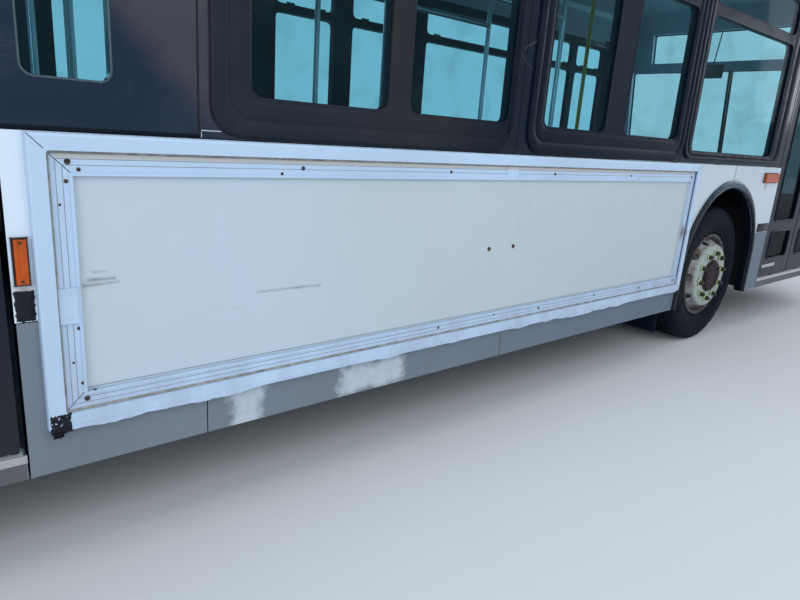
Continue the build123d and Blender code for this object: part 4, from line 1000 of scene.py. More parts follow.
class BUS_OT_wheels(bpy.types.Operator):
    """Front discs, nuts with their turning markers, hub caps and valves"""
    bl_idname = "bus.wheels"
    bl_label = "Wheels"

    # How far from the bus's middle, on a single wheel and on a pair
    FACE_Y = (1.243, 0.993)
    HUB_Y = (1.262, 1.180)
    VALVE_Y = (1.198, 0.984)
    VALVE_R = 0.225
    HAND_HOLES = 10
    HOLE_CIRCLE = 0.2505
    # Outlines as (outward, radius); a nut's and a marker's radii are shares of half its width
    DISC = ((0.0, 0.100), (0.0, 0.2225), (-0.002, 0.2270), (-0.008, 0.2295), (-0.020, 0.2340),
            (-0.070, 0.2610), (-0.084, 0.2715), (-0.092, 0.2715), (-0.076, 0.2540),
            (-0.026, 0.2255), (-0.012, 0.2190), (-0.010, 0.100))
    HOLE = ((-0.028, 0), (-0.028, 0.026), (0.03, 0.026), (0.03, 0))
    NUT = ((0, 0), (0, 1.35), (0.004, 1.35), (0.005, 1.12), (0.024, 1.12), (0.027, 0.95))
    STUD_R = 0.011
    STUD = ((0.02, STUD_R), (0.036, STUD_R), (0.038, 0.009), (0.038, 0))
    MARKER = ((0.006, 1.2), (0.006, 1.52), (0.011, 1.48), (0.011, 1.2))
    # The marker's pointer: (share of half a nut's width, half its own width)
    POINTER = ((1.3, 0.009), (2.2, 0.002), (2.2, -0.002), (1.3, -0.009))
    POINTER_FROM, POINTER_THICK = 0.006, 0.005
    HUB_R = 0.1065
    BOLTS = 8
    BOLT_CIRCLE = 0.074
    BOLT = ((0, 0.0085), (0.007, 0.0085), (0.0085, 0.007), (0.0085, 0))

    def nut(self, nuts, marks, at, out, turn, half):
        nuts.turned([(u, half * share) for u, share in self.NUT] + [(0.027, self.STUD_R)], at, out, 6)
        nuts.turned(self.STUD, at, out, 12)
        marks.turned([(u, half * share) for u, share in self.MARKER], at, out, 18, closed=True)
        swing = turn + math.radians(random.uniform(60, 120))
        ahead, across = spoke(swing), spoke(swing + math.pi / 2)
        foot = [at + out * self.POINTER_FROM + ahead * half * reach + across * wide
                for reach, wide in self.POINTER]
        marks.sweep([foot, [p + out * self.POINTER_THICK for p in foot]])

    def disc(self, centre, out, face):
        """The front wheel's disc with its hand holes."""
        disc, holes = Shape(), Shape()
        disc.turned([(face + u, radius) for u, radius in self.DISC], centre, out, 120, closed=True)
        for k in range(self.HAND_HOLES):
            ahead = spoke(2 * math.pi * (k + 0.5) / self.HAND_HOLES)
            at = centre + out * (face - 0.042) + ahead * self.HOLE_CIRCLE
            holes.turned(self.HOLE, at, ahead * 0.8 + out * 0.6, 20)
        return disc.minus(holes)

    def cap(self, centre, out, start, end):
        """The hub's cap from the wheel's face to its end, with its ring of bolts."""
        cap = Shape()
        rim = self.HUB_R + 0.012
        cap.turned([(start, rim), (start + 0.005, rim), (start + 0.007, self.HUB_R),
                    (end + 0.0015, self.HUB_R), (end + 0.0055, self.HUB_R - 0.006),
                    (end + 0.007, 0.088), (end + 0.007, 0.062), (end + 0.002, 0.056),
                    (end + 0.002, 0)], centre, out, 48)
        for k in range(self.BOLTS):
            at = centre + out * (end + 0.006) + spoke(2 * math.pi * k / self.BOLTS) * self.BOLT_CIRCLE
            cap.turned(self.BOLT, at, out, 6)
        return cap

    def execute(self, context):
        sizes = context.scene.bus_sizes
        for name, side, x, pair in wheel_bodies():
            centre, out = Vector((x, 0, AXLE_Z)), Vector((0, side, 0))
            face, body = self.FACE_Y[pair], "wheel_" + name
            nuts, marks, valve = Shape(), Shape(), Shape()
            for k in range(sizes.nut_count):
                turn = 2 * math.pi * (k + 0.15) / sizes.nut_count
                at = centre + out * face + spoke(turn) * sizes.nut_circle
                self.nut(nuts, marks, at, out, turn, sizes.nut / 2)
            if not pair:
                self.disc(centre, out, face).piece("wheel_disc_" + name, "face_white", 35, body)
            nuts.piece("wheel_nuts_" + name, "nut_steel", 30, body)
            marks.piece("nut_markers_" + name, "marker_plastic", 30, body)
            cap = self.cap(centre, out, face + 0.001, self.HUB_Y[pair])
            cap.piece("hub_cap_" + name, "hub_iron", 30, body)
            foot = centre + out * (self.VALVE_Y[pair] - 0.045) + Vector((self.VALVE_R, 0, 0))
            valve.tube([foot + out * along + Vector((lean, 0, 0))
                        for along, lean in ((0, 0), (0.02, 0.004), (0.045, 0.010))], 0.004)
            valve.piece("tyre_valve_" + name, "nut_steel", 30, body)
        return {"FINISHED"}


class BUS_OT_flares(bpy.types.Operator):
    """Thick rounded rubber round the wheel openings, over the stepped rings"""
    bl_idname = "bus.flares"
    bl_label = "Wheel-arch rubbers"

    # Radius and level of the arcs that end the rubber towards the wheel and towards the side
    ARCS = ((0.560, 0.579), (0.590, 0.602))
    LEG_STEPS, ARC_STEPS = 4, 48
    # Across the rubber: (share of the way from the inner arc to the outer, how proud)
    SECTION = ((0.0, 0.0), (0.0, 0.010), (0.06, 0.015), (0.16, 0.0185), (0.32, 0.0198), (0.62, 0.0198),
               (0.80, 0.018), (0.93, 0.013), (1.0, 0.006), (1.0, 0.0))

    def path(self, x, radius, level):
        """Points up one leg, over the wheel and down the other."""
        legs = [[(x + way * radius, SKIRT_Z + (level - SKIRT_Z) * k / self.LEG_STEPS)
                 for k in range(self.LEG_STEPS)] for way in (-1, 1)]
        turns = [math.pi * (1 - k / self.ARC_STEPS) for k in range(self.ARC_STEPS + 1)]
        return [*legs[0], *((x + radius * math.cos(t), level + radius * math.sin(t)) for t in turns),
                *reversed(legs[1])]

    def execute(self, context):
        shape = Shape()
        for side in (KERB, STREET):
            for x in AXLE_X.values():
                inner, outer = (self.path(x, *arc) for arc in self.ARCS)
                shape.sweep([[(ix + (ox - ix) * share, side * (SIDE_Y + proud), iz + (oz - iz) * share)
                              for share, proud in self.SECTION]
                             for (ix, iz), (ox, oz) in zip(inner, outer)])
        shape.piece("arch_rubbers", "flare_rubber", 40, replaces=("arch_flares",))
        return {"FINISHED"}


# Windows: first x, last x, sill z, glass bottom z, then the x spans of the panes
REAR_WINDOWS = (
    (-5.330, -3.850, 1.303, 1.425, ((-5.240, -4.620), (-4.520, -3.930))),
    (-3.790, -2.310, 1.320, 1.425, ((-3.700, -3.080), (-2.980, -2.390))),
)
MIDDLE_WINDOWS = (
    (-0.490, 0.890, 1.303, 1.425, ((-0.360, 0.190), (0.290, 0.862))),
    (1.004, 2.488, 1.303, 1.425, ((1.110, 1.620), (1.800, 2.400))),
    (2.500, 4.060, 1.320, 1.369, ((2.600, 3.880),)),
)
WINDOWS = {
    KERB: (*REAR_WINDOWS, *MIDDLE_WINDOWS),
    STREET: (*REAR_WINDOWS, (-2.260, -0.940, 1.303, 1.425, ((-2.170, -1.630), (-1.540, -1.020))),
             *MIDDLE_WINDOWS, (4.150, 5.440, 1.262, 1.330, ((4.240, 4.760), (4.850, 5.360)))),
}
WINDOW_TOP_Z = 2.470
PANE_TOP_Z = 2.150
UPPER_PANE = (2.212, 2.430)


class BUS_OT_gaskets(bpy.types.Operator):
    """Window rubbers: two broad mounds round each frame, a bead round each pane, latches"""
    bl_idname = "bus.gaskets"
    bl_label = "Window rubbers"

    # Each mound across the frame: (share of the way from the outer edge to the glass, how proud)
    MOUNDS = (
        ((0.0, 0.003), (0.01, 0.010), (0.05, 0.0148), (0.11, 0.0162), (0.24, 0.0162), (0.34, 0.0138),
         (0.41, 0.0105), (0.44, 0.0075), (0.44, 0.003)),
        ((0.47, 0.003), (0.475, 0.0088), (0.52, 0.0108), (0.64, 0.0120), (0.78, 0.0116), (0.88, 0.0098),
         (0.93, 0.0075), (0.93, 0.003)),
    )
    FRAME_R, ROUNDING_LOST = 0.096, 0.054
    # The beads outside and inside a pane: (how proud, share of the bead's radius)
    BEADS = ((0.004, 1.0), (-0.012, 0.7))
    BEAD_LAP = 0.002
    PANE_R = 0.044
    # Latches: from a pane's ends, half length, then their spans of depth behind the side and of z
    LATCH_AT, LATCH_HALF = 0.12, 0.03
    LATCH_DEPTH, LATCH_Z = (0.034, 0.050), (2.205, 2.222)

    def mound(self, shape, side, window, section):
        x0, x1, z0, glass_z, panes = window
        left, right = panes[0][0] - x0, x1 - panes[-1][1]
        under, over = glass_z - z0, WINDOW_TOP_Z - UPPER_PANE[1]
        loops = [wall_loop(side, SIDE_Y + proud, x0 + share * left, x1 - share * right,
                           z0 + share * under, WINDOW_TOP_Z - share * over,
                           self.FRAME_R - self.ROUNDING_LOST * share, 9) for share, proud in section]
        shape.sweep(list(zip(*loops)), closed=True)

    def pane(self, rubber, latches, side, span, bottom, bead):
        a, b = span
        lap = self.BEAD_LAP
        for low_z, high_z in ((bottom, PANE_TOP_Z), UPPER_PANE):
            for proud, share in self.BEADS:
                loop = wall_loop(side, SIDE_Y + proud, a - lap, b + lap, low_z - lap, high_z + lap,
                                 self.PANE_R)
                rubber.tube(loop, bead * share, closed=True)
        for at in (a + self.LATCH_AT, b - self.LATCH_AT):
            latches.box((at - self.LATCH_HALF, side * (SIDE_Y - self.LATCH_DEPTH[0]), self.LATCH_Z[0]),
                        (at + self.LATCH_HALF, side * (SIDE_Y - self.LATCH_DEPTH[1]), self.LATCH_Z[1]),
                        0.003)

    def execute(self, context):
        bead = context.scene.bus_sizes.gasket
        for side, name in SIDES:
            rubber, latches = Shape(), Shape()
            for window in WINDOWS[side]:
                for section in self.MOUNDS:
                    self.mound(rubber, side, window, section)
                for span in window[4]:
                    self.pane(rubber, latches, side, span, window[3], bead)
            rubber.piece("window_rubbers_" + name, "rubber_black", 45)
            latches.piece("window_latches_" + name, "console_plastic", 30)
        return {"FINISHED"}


class BUS_OT_bands(bpy.types.Operator):
    """Rim of the narrow window by the exit, body seams and the drip rails"""
    bl_idname = "bus.bands"
    bl_label = "Body trim"

    # The narrow window's x and z spans, and its rim: (inset, how proud)
    SLIT = (-0.980, -0.760, 1.424, 2.400)
    SLIT_R = 0.034
    RIM = ((0.0, 0.0002), (0.0, 0.0018), (0.004, 0.0020), (0.0055, 0.0002))
    SEAMS = {KERB: (-5.76, -3.82, -2.28, -0.525, 0.947, 2.494, 4.165),
             STREET: (-5.76, -3.82, -2.285, -0.70, 0.947, 2.494, 4.105, 5.50)}
    # Half widths of the seams in the band and of those over the wheels, with the latter's z span
    SEAM_HALF, ARCH_SEAM_HALF, ARCH_SEAM_Z = 0.0022, 0.0018, (1.196, 1.292)
    # The drip rail's and the belt's lines: places along the bus and radius
    DRIP_X, DRIP_R = (-5.74, -2.0, 2.0, 5.54), 0.0085
    BELT_X, BELT_R = (-5.75, -2.3), 0.004
    # The bead under the band between the exit and the frame: its x span
    BEAD_X = (-1.035, -0.522)
    # The white caulk at the corner under the window band: (x, z)
    CAULK = ((-0.517, 1.298), (-0.517, 1.318), (-0.455, 1.318))

    def execute(self, context):
        rim, seams, drips, bead, caulk = Shape(), Shape(), Shape(), Shape(), Shape()
        x0, x1, z0, z1 = self.SLIT
        loops = [wall_loop(KERB, SIDE_Y + proud, x0 + inset, x1 - inset, z0 + inset, z1 - inset,
                           self.SLIT_R - inset, 6) for inset, proud in self.RIM]
        rim.sweep(list(zip(*loops)), closed=True)
        rim.piece("slit_window_rim", "slit_rim", 30)
        for side in (KERB, STREET):
            for x in self.SEAMS[side]:
                seams.box((x - self.SEAM_HALF, side * (SIDE_Y - 0.001), BELT_Z + 0.004),
                          (x + self.SEAM_HALF, side * (SIDE_Y + 0.0012), ROOF_SEAM_Z - 0.006), 0.0005)
            for x in AXLE_X.values():
                z0, z1 = self.ARCH_SEAM_Z
                seams.box((x - self.ARCH_SEAM_HALF, side * (SIDE_Y - 0.001), z0),
                          (x + self.ARCH_SEAM_HALF, side * (SIDE_Y + 0.001), z1))
            drips.tube([(x, side * (SIDE_Y + 0.004), ROOF_SEAM_Z + 0.004) for x in self.DRIP_X],
                       self.DRIP_R)
            drips.tube([(x, side * (SIDE_Y + 0.001), BELT_Z + 0.001) for x in self.BELT_X],
                       self.BELT_R, 6)
        seams.piece("panel_seams", "tape_black", 0)
        drips.piece("drip_rails", "roof_white", 40)
        x0, x1 = self.BEAD_X
        bead.box((x0, -SIDE_Y - 0.0022, BELT_Z - 0.001),
                 (x1, -SIDE_Y - 0.0001, BELT_Z + 0.0105), 0.0008)
        bead.piece("belt_bead", "bead_black", 40)
        caulk.tube([(x, -SIDE_Y - 0.001, z) for x, z in self.CAULK], 0.0016, 6)
        caulk.piece("white_caulk", "panel_white", 40)
        return {"FINISHED"}


class BUS_OT_ad_frames(bpy.types.Operator):
    """Screws, splice plates, caulk, torn trim and the taped corner of the advertising frames"""
    bl_idname = "bus.ad_frames"
    bl_label = "Advertising frames"

    # The recessed rails' face
    BAND_Y = SIDE_Y + 0.016
    # Screws along the rails: x, z and size as a share of the full head
    RAIL_SCREWS = (
        (-0.889, 1.219, 1.35), (-0.863, 1.199, 0.95), (-0.895, 1.168, 0.95), (-0.914, 1.106, 0.6),
        (-0.889, 0.758, 0.9), (-0.909, 0.658, 0.6), (-0.889, 0.592, 0.85), (-0.858, 0.563, 0.85),
        (-0.880, 0.542, 1.35), (-0.251, 1.195, 0.9), (-0.171, 1.214, 1.2), (0.536, 0.541, 1.0),
        (0.899, 0.551, 0.9), (1.244, 0.537, 1.1), (1.75, 0.547, 0.9), (2.24, 0.537, 1.0),
        (0.532, 1.212, 1.1), (0.890, 1.193, 0.7), (1.237, 1.212, 1.1), (1.939, 1.211, 0.9),
        (2.033, 1.193, 0.5), (2.659, 1.212, 1.1), (2.679, 0.643, 0.8), (2.662, 0.541, 1.0),
    )
    BOARD_SCREWS = ((0.827, 0.870), (0.996, 0.873))
    BOARD_SCREW_R = 0.010
    # A screw's head: (how proud, radius), as shares of its radius
    HEAD = ((0, 1), (0.25, 0.96), (0.5, 0.66), (0.42, 0.3), (0.3, 0))
    # The plates over the rails' joints: first x, last x, first z, last z, how proud, bevel
    SPLICES = ((-0.937, -0.884, 0.775, 0.878, 0.004, 0.002),
               (0.880, 0.960, 1.186, 1.244, 0.0025, 0.001))
    SPLICE_SCREWS = (-0.910, (0.792, 0.861))
    SPLICE_SCREW_R = 0.0055
    CAULK_INSET, CAULK_R = 0.0475, 0.0055
    # Lines round the frame, grey as painted shade of the rails' ridges and the board's edge: inset,
    # face, how proud, radius
    LINES = ((0.066, BAND_Y, -0.0002, 0.0011), (0.082, BAND_Y, -0.0002, 0.0011),
             (0.1065, BOARD_Y, 0.0003, 0.0014))
    # Mitre lines at the corners: face, then how far in they start and end
    MITRES = ((AD_Y, 0.004, 0.040), (BAND_Y, 0.050, 0.104))
    # Patches of tape on the kerb side: first and last corner (x, z), y, thickness, seed
    TAPES = (
        ((-0.982, 0.454), (-0.926, 0.514), AD_Y - 0.002, 0.006, 3),
        ((-0.976, 0.442), (-0.950, 0.464), AD_Y - 0.003, 0.008, 4),
        ((-1.036, 0.792), (-0.988, 0.876), SIDE_Y, 0.004, 5),
    )
    TAPE_CELLS = 14
    TAPE_SHIFT = 0.0022
    TORN_STEPS = 240

    def frame_loop(self, side, y, inset):
        return wall_loop(side, y, AD_LOW.x + inset, AD_HIGH.x - inset,
                         AD_LOW.z + inset, AD_HIGH.z - inset, 0.003, 2)

    def screw(self, shape, x, side, z, y, r):
        shape.turned([(r * u, r * v) for u, v in self.HEAD], (x, side * y, z), (0, side, 0), 12)

    def execute(self, context):
        sizes = context.scene.bus_sizes
        band_y = self.BAND_Y
        for side, name in SIDES:
            screws, splice, caulk, lines, mitres = Shape(), Shape(), Shape(), Shape(), Shape()
            for x, z, share in self.RAIL_SCREWS:
                self.screw(screws, x, side, z, band_y, sizes.screw * share)
            for x, z in self.BOARD_SCREWS:
                self.screw(screws, x, side, z, BOARD_Y, self.BOARD_SCREW_R)
            screws.piece("frame_screws_" + name, "rusty_screw", 30)
            for x0, x1, z0, z1, proud, bevel in self.SPLICES:
                splice.box((x0, side * (band_y - 0.001), z0), (x1, side * (band_y + proud), z1), bevel)
            x, levels = self.SPLICE_SCREWS
            for z in levels:
                self.screw(splice, x, side, z, band_y + 0.004, self.SPLICE_SCREW_R)
            splice.piece("frame_splices_" + name, "ad_frame_paint", 30)
            caulk.tube(self.frame_loop(side, band_y, self.CAULK_INSET), self.CAULK_R, 6, closed=True)
            caulk.piece("frame_caulk_" + name, "old_caulk", 40)
            for inset, face, proud, radius in self.LINES:
                lines.tube(self.frame_loop(side, face + proud, inset), radius, 6, closed=True)
            for x, way_x in ((AD_LOW.x, 1), (AD_HIGH.x, -1)):
                for z, way_z in ((AD_LOW.z, 1), (AD_HIGH.z, -1)):
                    for y, start, end in self.MITRES:
                        mitres.tube([(x + way_x * reach, side * (y - 0.0003), z + way_z * reach)
                                     for reach in (start, end)], 0.0011, 6)
            lines.piece("frame_lines_" + name, "line_shade_grey", 40)
            mitres.piece("frame_mitres_" + name, "bead_black", 40)
            self.torn_trim(side).piece("torn_trim_" + name, "ad_frame_paint", 50)
        tape = Shape()
        for patch in self.TAPES:
            self.crumple(tape, *patch)
        tape.piece("tape_patches", "tape_black", 40)
        return {"FINISHED"}

    def torn_trim(self, side):
        """The bottom rail's white skin, lifted and torn along its edge."""
        front_y, edge_z = AD_Y - 0.0015, AD_LOW.z
        start, length = AD_LOW.x + 0.02, AD_HIGH.x - AD_LOW.x - 0.06
        rings = []
        ragged = 0.0
        for k in range(self.TORN_STEPS + 1):
            x = start + length * k / self.TORN_STEPS
            ragged += random.uniform(-0.0035, 0.0035)
            ragged = max(-0.006, min(0.009, ragged * 0.96))
            wave = 0.003 * math.sin(x * 5.3 + side) + 0.002 * math.sin(x * 13.1)
            bottom = edge_z - 0.002 - max(0.0, ragged + wave)
            proud = 0.0006 + 0.0012 * (0.5 + 0.5 * math.sin(x * 9.7)) * (0.4 + 0.6 * (k % 37) / 37)
            section = ((-0.004, edge_z + 0.012), (0.0005, edge_z + 0.012), (proud, edge_z + 0.002),
                       (proud * 0.6, bottom), (-0.002, bottom), (-0.004, edge_z + 0.001))
            rings.append([(x, side * (front_y + out), z) for out, z in section])
        return Shape().sweep(rings)

    def crumple(self, shape, lowest, highest, y, thick, seed):
        """A crumpled rectangle of tape against the side: a front sheet, a back sheet and a rim."""
        rng = random.Random(seed)
        n, shift = self.TAPE_CELLS, self.TAPE_SHIFT
        front, back = {}, {}
        for i in range(n + 1):
            for j in range(n + 1):
                x = lowest[0] + (highest[0] - lowest[0]) * i / n + rng.uniform(-shift, shift)
                z = lowest[1] + (highest[1] - lowest[1]) * j / n + rng.uniform(-shift, shift)
                inside = min(i, n - i, j, n - j) > 0
                rise = thick * (rng.uniform(0.2, 1.0) if inside else 0.15)
                front[i, j] = shape.bm.verts.new((x, -(y + rise), z))
                back[i, j] = shape.bm.verts.new((x, -(y - 0.0005), z))
        for sheet in (front, back):
            for i in range(n):
                for j in range(n):
                    corners = ((i, j), (i + 1, j), (i + 1, j + 1), (i, j + 1))
                    shape.bm.faces.new([sheet[corner] for corner in corners])
        rim = [(i, 0) for i in range(n)] + [(n, j) for j in range(n)]
        rim += [(n - i, n) for i in range(n)] + [(0, n - j) for j in range(n)]
        for one, two in zip(rim, rim[1:] + rim[:1]):
            shape.bm.faces.new((front[one], front[two], back[two], back[one]))


# The front: its skin's furthest x, how it leans back above a level, its corners' radius
FRONT_X = 6.058
LEAN_FROM_Z, LEAN = 1.150, 0.190 / 1.490
HALF_WIDTH, CORNER_R = 1.275, 0.220


def front_x(z, y=0.0):
    """The front skin's place at a level and a distance from the middle."""
    past = max(0.0, abs(y) - (HALF_WIDTH - CORNER_R))
    round_off = CORNER_R - math.sqrt(max(0.0, CORNER_R ** 2 - past ** 2))
    return FRONT_X - max(0.0, z - LEAN_FROM_Z) * LEAN - round_off


class BUS_OT_lamps(bpy.types.Operator):
    """Lens bases and screws, headlamp dishes, mirror faces, plate holders and round reflectors"""
    bl_idname = "bus.lamps"
    bl_label = "Lamps and mirrors"

    # Bases of the amber lamps: first x, last x, first z, last z, how proud
    BASES = ((-1.033, -0.994, 0.892, 1.022, 0.005), (3.878, 4.134, 1.176, 1.252, 0.006))
    # Their lenses' screws: x, z, how proud
    SCREWS = ((-1.0135, 0.905, 0.014), (-1.0135, 1.009, 0.014),
              (3.900, 1.214, 0.022), (4.112, 1.214, 0.022))
    SCREW = ((0, 0.004), (0.002, 0.0035), (0.0025, 0))
    HEADLAMP_X, HEADLAMP_Z = 6.000, 0.80
    HEADLAMP_Y = (-0.90, 0.90, -0.69, 0.69)
    DISH = ((0.0, 0.0), (0.0, 0.012), (0.004, 0.045), (0.018, 0.070), (0.040, 0.086), (0.040, 0.0875),
            (0.0175, 0.0715), (0.003, 0.0465), (-0.0015, 0.013), (-0.0015, 0.0))
    BULB = ((0.004, 0.010), (0.030, 0.010), (0.036, 0.006), (0.036, 0))
    HEADLAMP_RIM = ((0.0, 0.090), (0.0, 0.099), (0.008, 0.098), (0.010, 0.093), (0.006, 0.090))
    REAR_LAMPS_X, REAR_LAMPS_Z = -6.058, (1.42, 1.22, 1.02)
    REAR_RIM = ((0.0, 0.074), (0.0, 0.086), (0.014, 0.084), (0.017, 0.078), (0.014, 0.074))
    # The front and the rear plate's holder: lowest and highest corner
    PLATES = (((6.050, -0.165, 0.655), (6.064, 0.165, 0.775)),
              ((-6.066, -1.200, 0.640), (-6.056, -0.885, 0.790)))
    REFLECTOR = ((0, 0.037), (0.005, 0.037), (0.007, 0.033), (0.008, 0))

    def execute(self, context):
        bases, dishes, rims = Shape(), Shape(), Shape()
        glass, plates, reflectors = Shape(), Shape(), Shape()
        for side in (KERB, STREET):
            for x0, x1, z0, z1, proud in self.BASES:
                bases.box((x0, side * (SIDE_Y + 0.0002), z0), (x1, side * (SIDE_Y + proud), z1), 0.002)
            for x, z, proud in self.SCREWS:
                bases.turned(self.SCREW, (x, side * (SIDE_Y + proud), z), (0, side, 0), 10)
        bases.piece("lamp_bases", "nut_steel", 30)
        for y in self.HEADLAMP_Y:
            at = (self.HEADLAMP_X, y, self.HEADLAMP_Z)
            dishes.turned(self.DISH, at, (1, 0, 0), 40)
            dishes.turned(self.BULB, at, (1, 0, 0), 16)
            skin = (front_x(self.HEADLAMP_Z, y) - 0.0092, y, self.HEADLAMP_Z)
            rims.turned(self.HEADLAMP_RIM, skin, (1, 0, 0), 48, closed=True)
        for z in self.REAR_LAMPS_Z:
            for y in (-1.0, 1.0):
                rims.turned(self.REAR_RIM, (self.REAR_LAMPS_X, y, z), (-1, 0, 0), 40, closed=True)
        dishes.piece("headlamp_dishes", "mirror_glass", 40)
        rims.piece("lamp_rims", "rubber_black", 40)
        for side in (KERB, STREET):
            y0, y1 = sorted((side * 1.306, side * 1.504))
            glass.sweep([[(x, y, z) for y, z in rounded_loop(y0 + inset, y1 - inset, 1.690 + inset,
                                                            2.050 - inset, 0.03, 5)]
                         for x, inset in ((5.9385, 0), (5.9375, 0.002))])
        glass.piece("mirror_faces", "mirror_glass", 30)
        for lowest, highest in self.PLATES:
            plates.box(lowest, highest, 0.003)
        plates.piece("plate_holders", "console_plastic", 30)
        for x in (-5.60, 5.50):
            for side in (KERB, STREET):
                reflectors.turned(self.REFLECTOR, (x, side * SIDE_Y, 0.90), (0, side, 0), 24)
        reflectors.piece("side_reflectors", "lens_amber", 40)
        return {"FINISHED"}


class BUS_OT_doors(bpy.types.Operator):
    """Door leaves' rubber noses and pane beads, the sills and the steps' edges"""
    bl_idname = "bus.doors"
    bl_label = "Doors"

    # Leaf, the way its nose faces, and the x span of its panel without pins and brackets
    LEAVES = (
        ("entry_leaf_rear", 1, 4.206, 4.842), ("entry_leaf_front", -1, 4.858, 5.494),
        ("exit_leaf_rear", 1, -2.224, -1.648), ("exit_leaf_front", -1, -1.632, -1.056),
    )
    # z spans of a leaf's panes, and how far they stay from its edges
    PANES, PANE_INSET = ((0.552, 0.782), (0.866, 2.215)), 0.105
    LEAF_Y, LEAF_HALF = -1.25, 0.0175
    DOORWAYS = ((4.19, 5.51), (-2.24, -1.04))
    # A sill's plate, its lip on the side and the first of its treads: y and z spans
    SILL = ((-1.2745, -1.222), (0.3955, 0.3985))
    LIP = ((-SIDE_Y - 0.0035, -SIDE_Y - 0.0002), (0.3745, 0.3985))
    TREAD = ((-1.268, -1.264), (0.3985, 0.3995))
    TREADS, TREAD_PITCH = 5, 0.009
    # The strip behind the entry and the bar on its leaf: lowest and highest corner
    STRIP = ((3.962, -SIDE_Y - 0.004, 0.795), (4.187, -SIDE_Y - 0.0002, 0.861))
    FOOT_BAR = ((4.262, -1.2712, 0.480), (4.500, -1.2680, 0.506))
    FOOT_KNOB, KNOB_AT = ((0, 0.0), (0, 0.017), (0.003, 0.016), (0.004, 0)), (4.520, -1.2680, 0.494)
    # Edges of the steps between the low and the high floor: (x, z)
    STEPS = ((-2.270, 0.5705), (-2.5705, 0.7505))

    def execute(self, context):
        for leaf, way, x0, x1 in self.LEAVES:
            rubber = Shape()
            edge = high(leaf).x + 0.003 if way > 0 else low(leaf).x - 0.003
            rubber.tube([(edge, self.LEAF_Y, z) for z in (0.412, 1.0, 1.6, 2.296)], 0.0045)
            for z0, z1 in self.PANES:
                for y in (self.LEAF_Y - self.LEAF_HALF, self.LEAF_Y + self.LEAF_HALF):
                    loop = wall_loop(1, y, x0 + self.PANE_INSET, x1 - self.PANE_INSET, z0, z1, 0.045, 6)
                    rubber.tube(loop, 0.0075, closed=True)
            rubber.piece("door_rubbers_" + leaf, "rubber_black", 40, leaf + "_body")
        sills, strip, foot, noses = Shape(), Shape(), Shape(), Shape()
        for x0, x1 in self.DOORWAYS:
            for (y0, y1), (z0, z1) in (self.SILL, self.LIP):
                sills.box((x0 + 0.002, y0, z0), (x1 - 0.002, y1, z1), 0.001)
            (y0, y1), (z0, z1) = self.TREAD
            for k in range(self.TREADS):
                along = k * self.TREAD_PITCH
                sills.box((x0 + 0.01, y0 + along, z0), (x1 - 0.01, y1 + along, z1))
        sills.piece("door_sills", "stainless", 0)
        strip.box(*self.STRIP, 0.0012)
        strip.piece("entry_strip", "leaf_black", 30)
        foot.box(*self.FOOT_BAR, 0.0012)
        foot.turned(self.FOOT_KNOB, self.KNOB_AT, (0, -1, 0), 20)
        foot.piece("entry_foot_bar", "stainless", 30, "entry_leaf_rear_body")
        for x, z in self.STEPS:
            noses.box((x - 0.045, -0.545, z), (x + 0.003, 0.545, z + 0.003), 0.001)
        noses.piece("step_edges", "pole_yellow", 0)
        return {"FINISHED"}


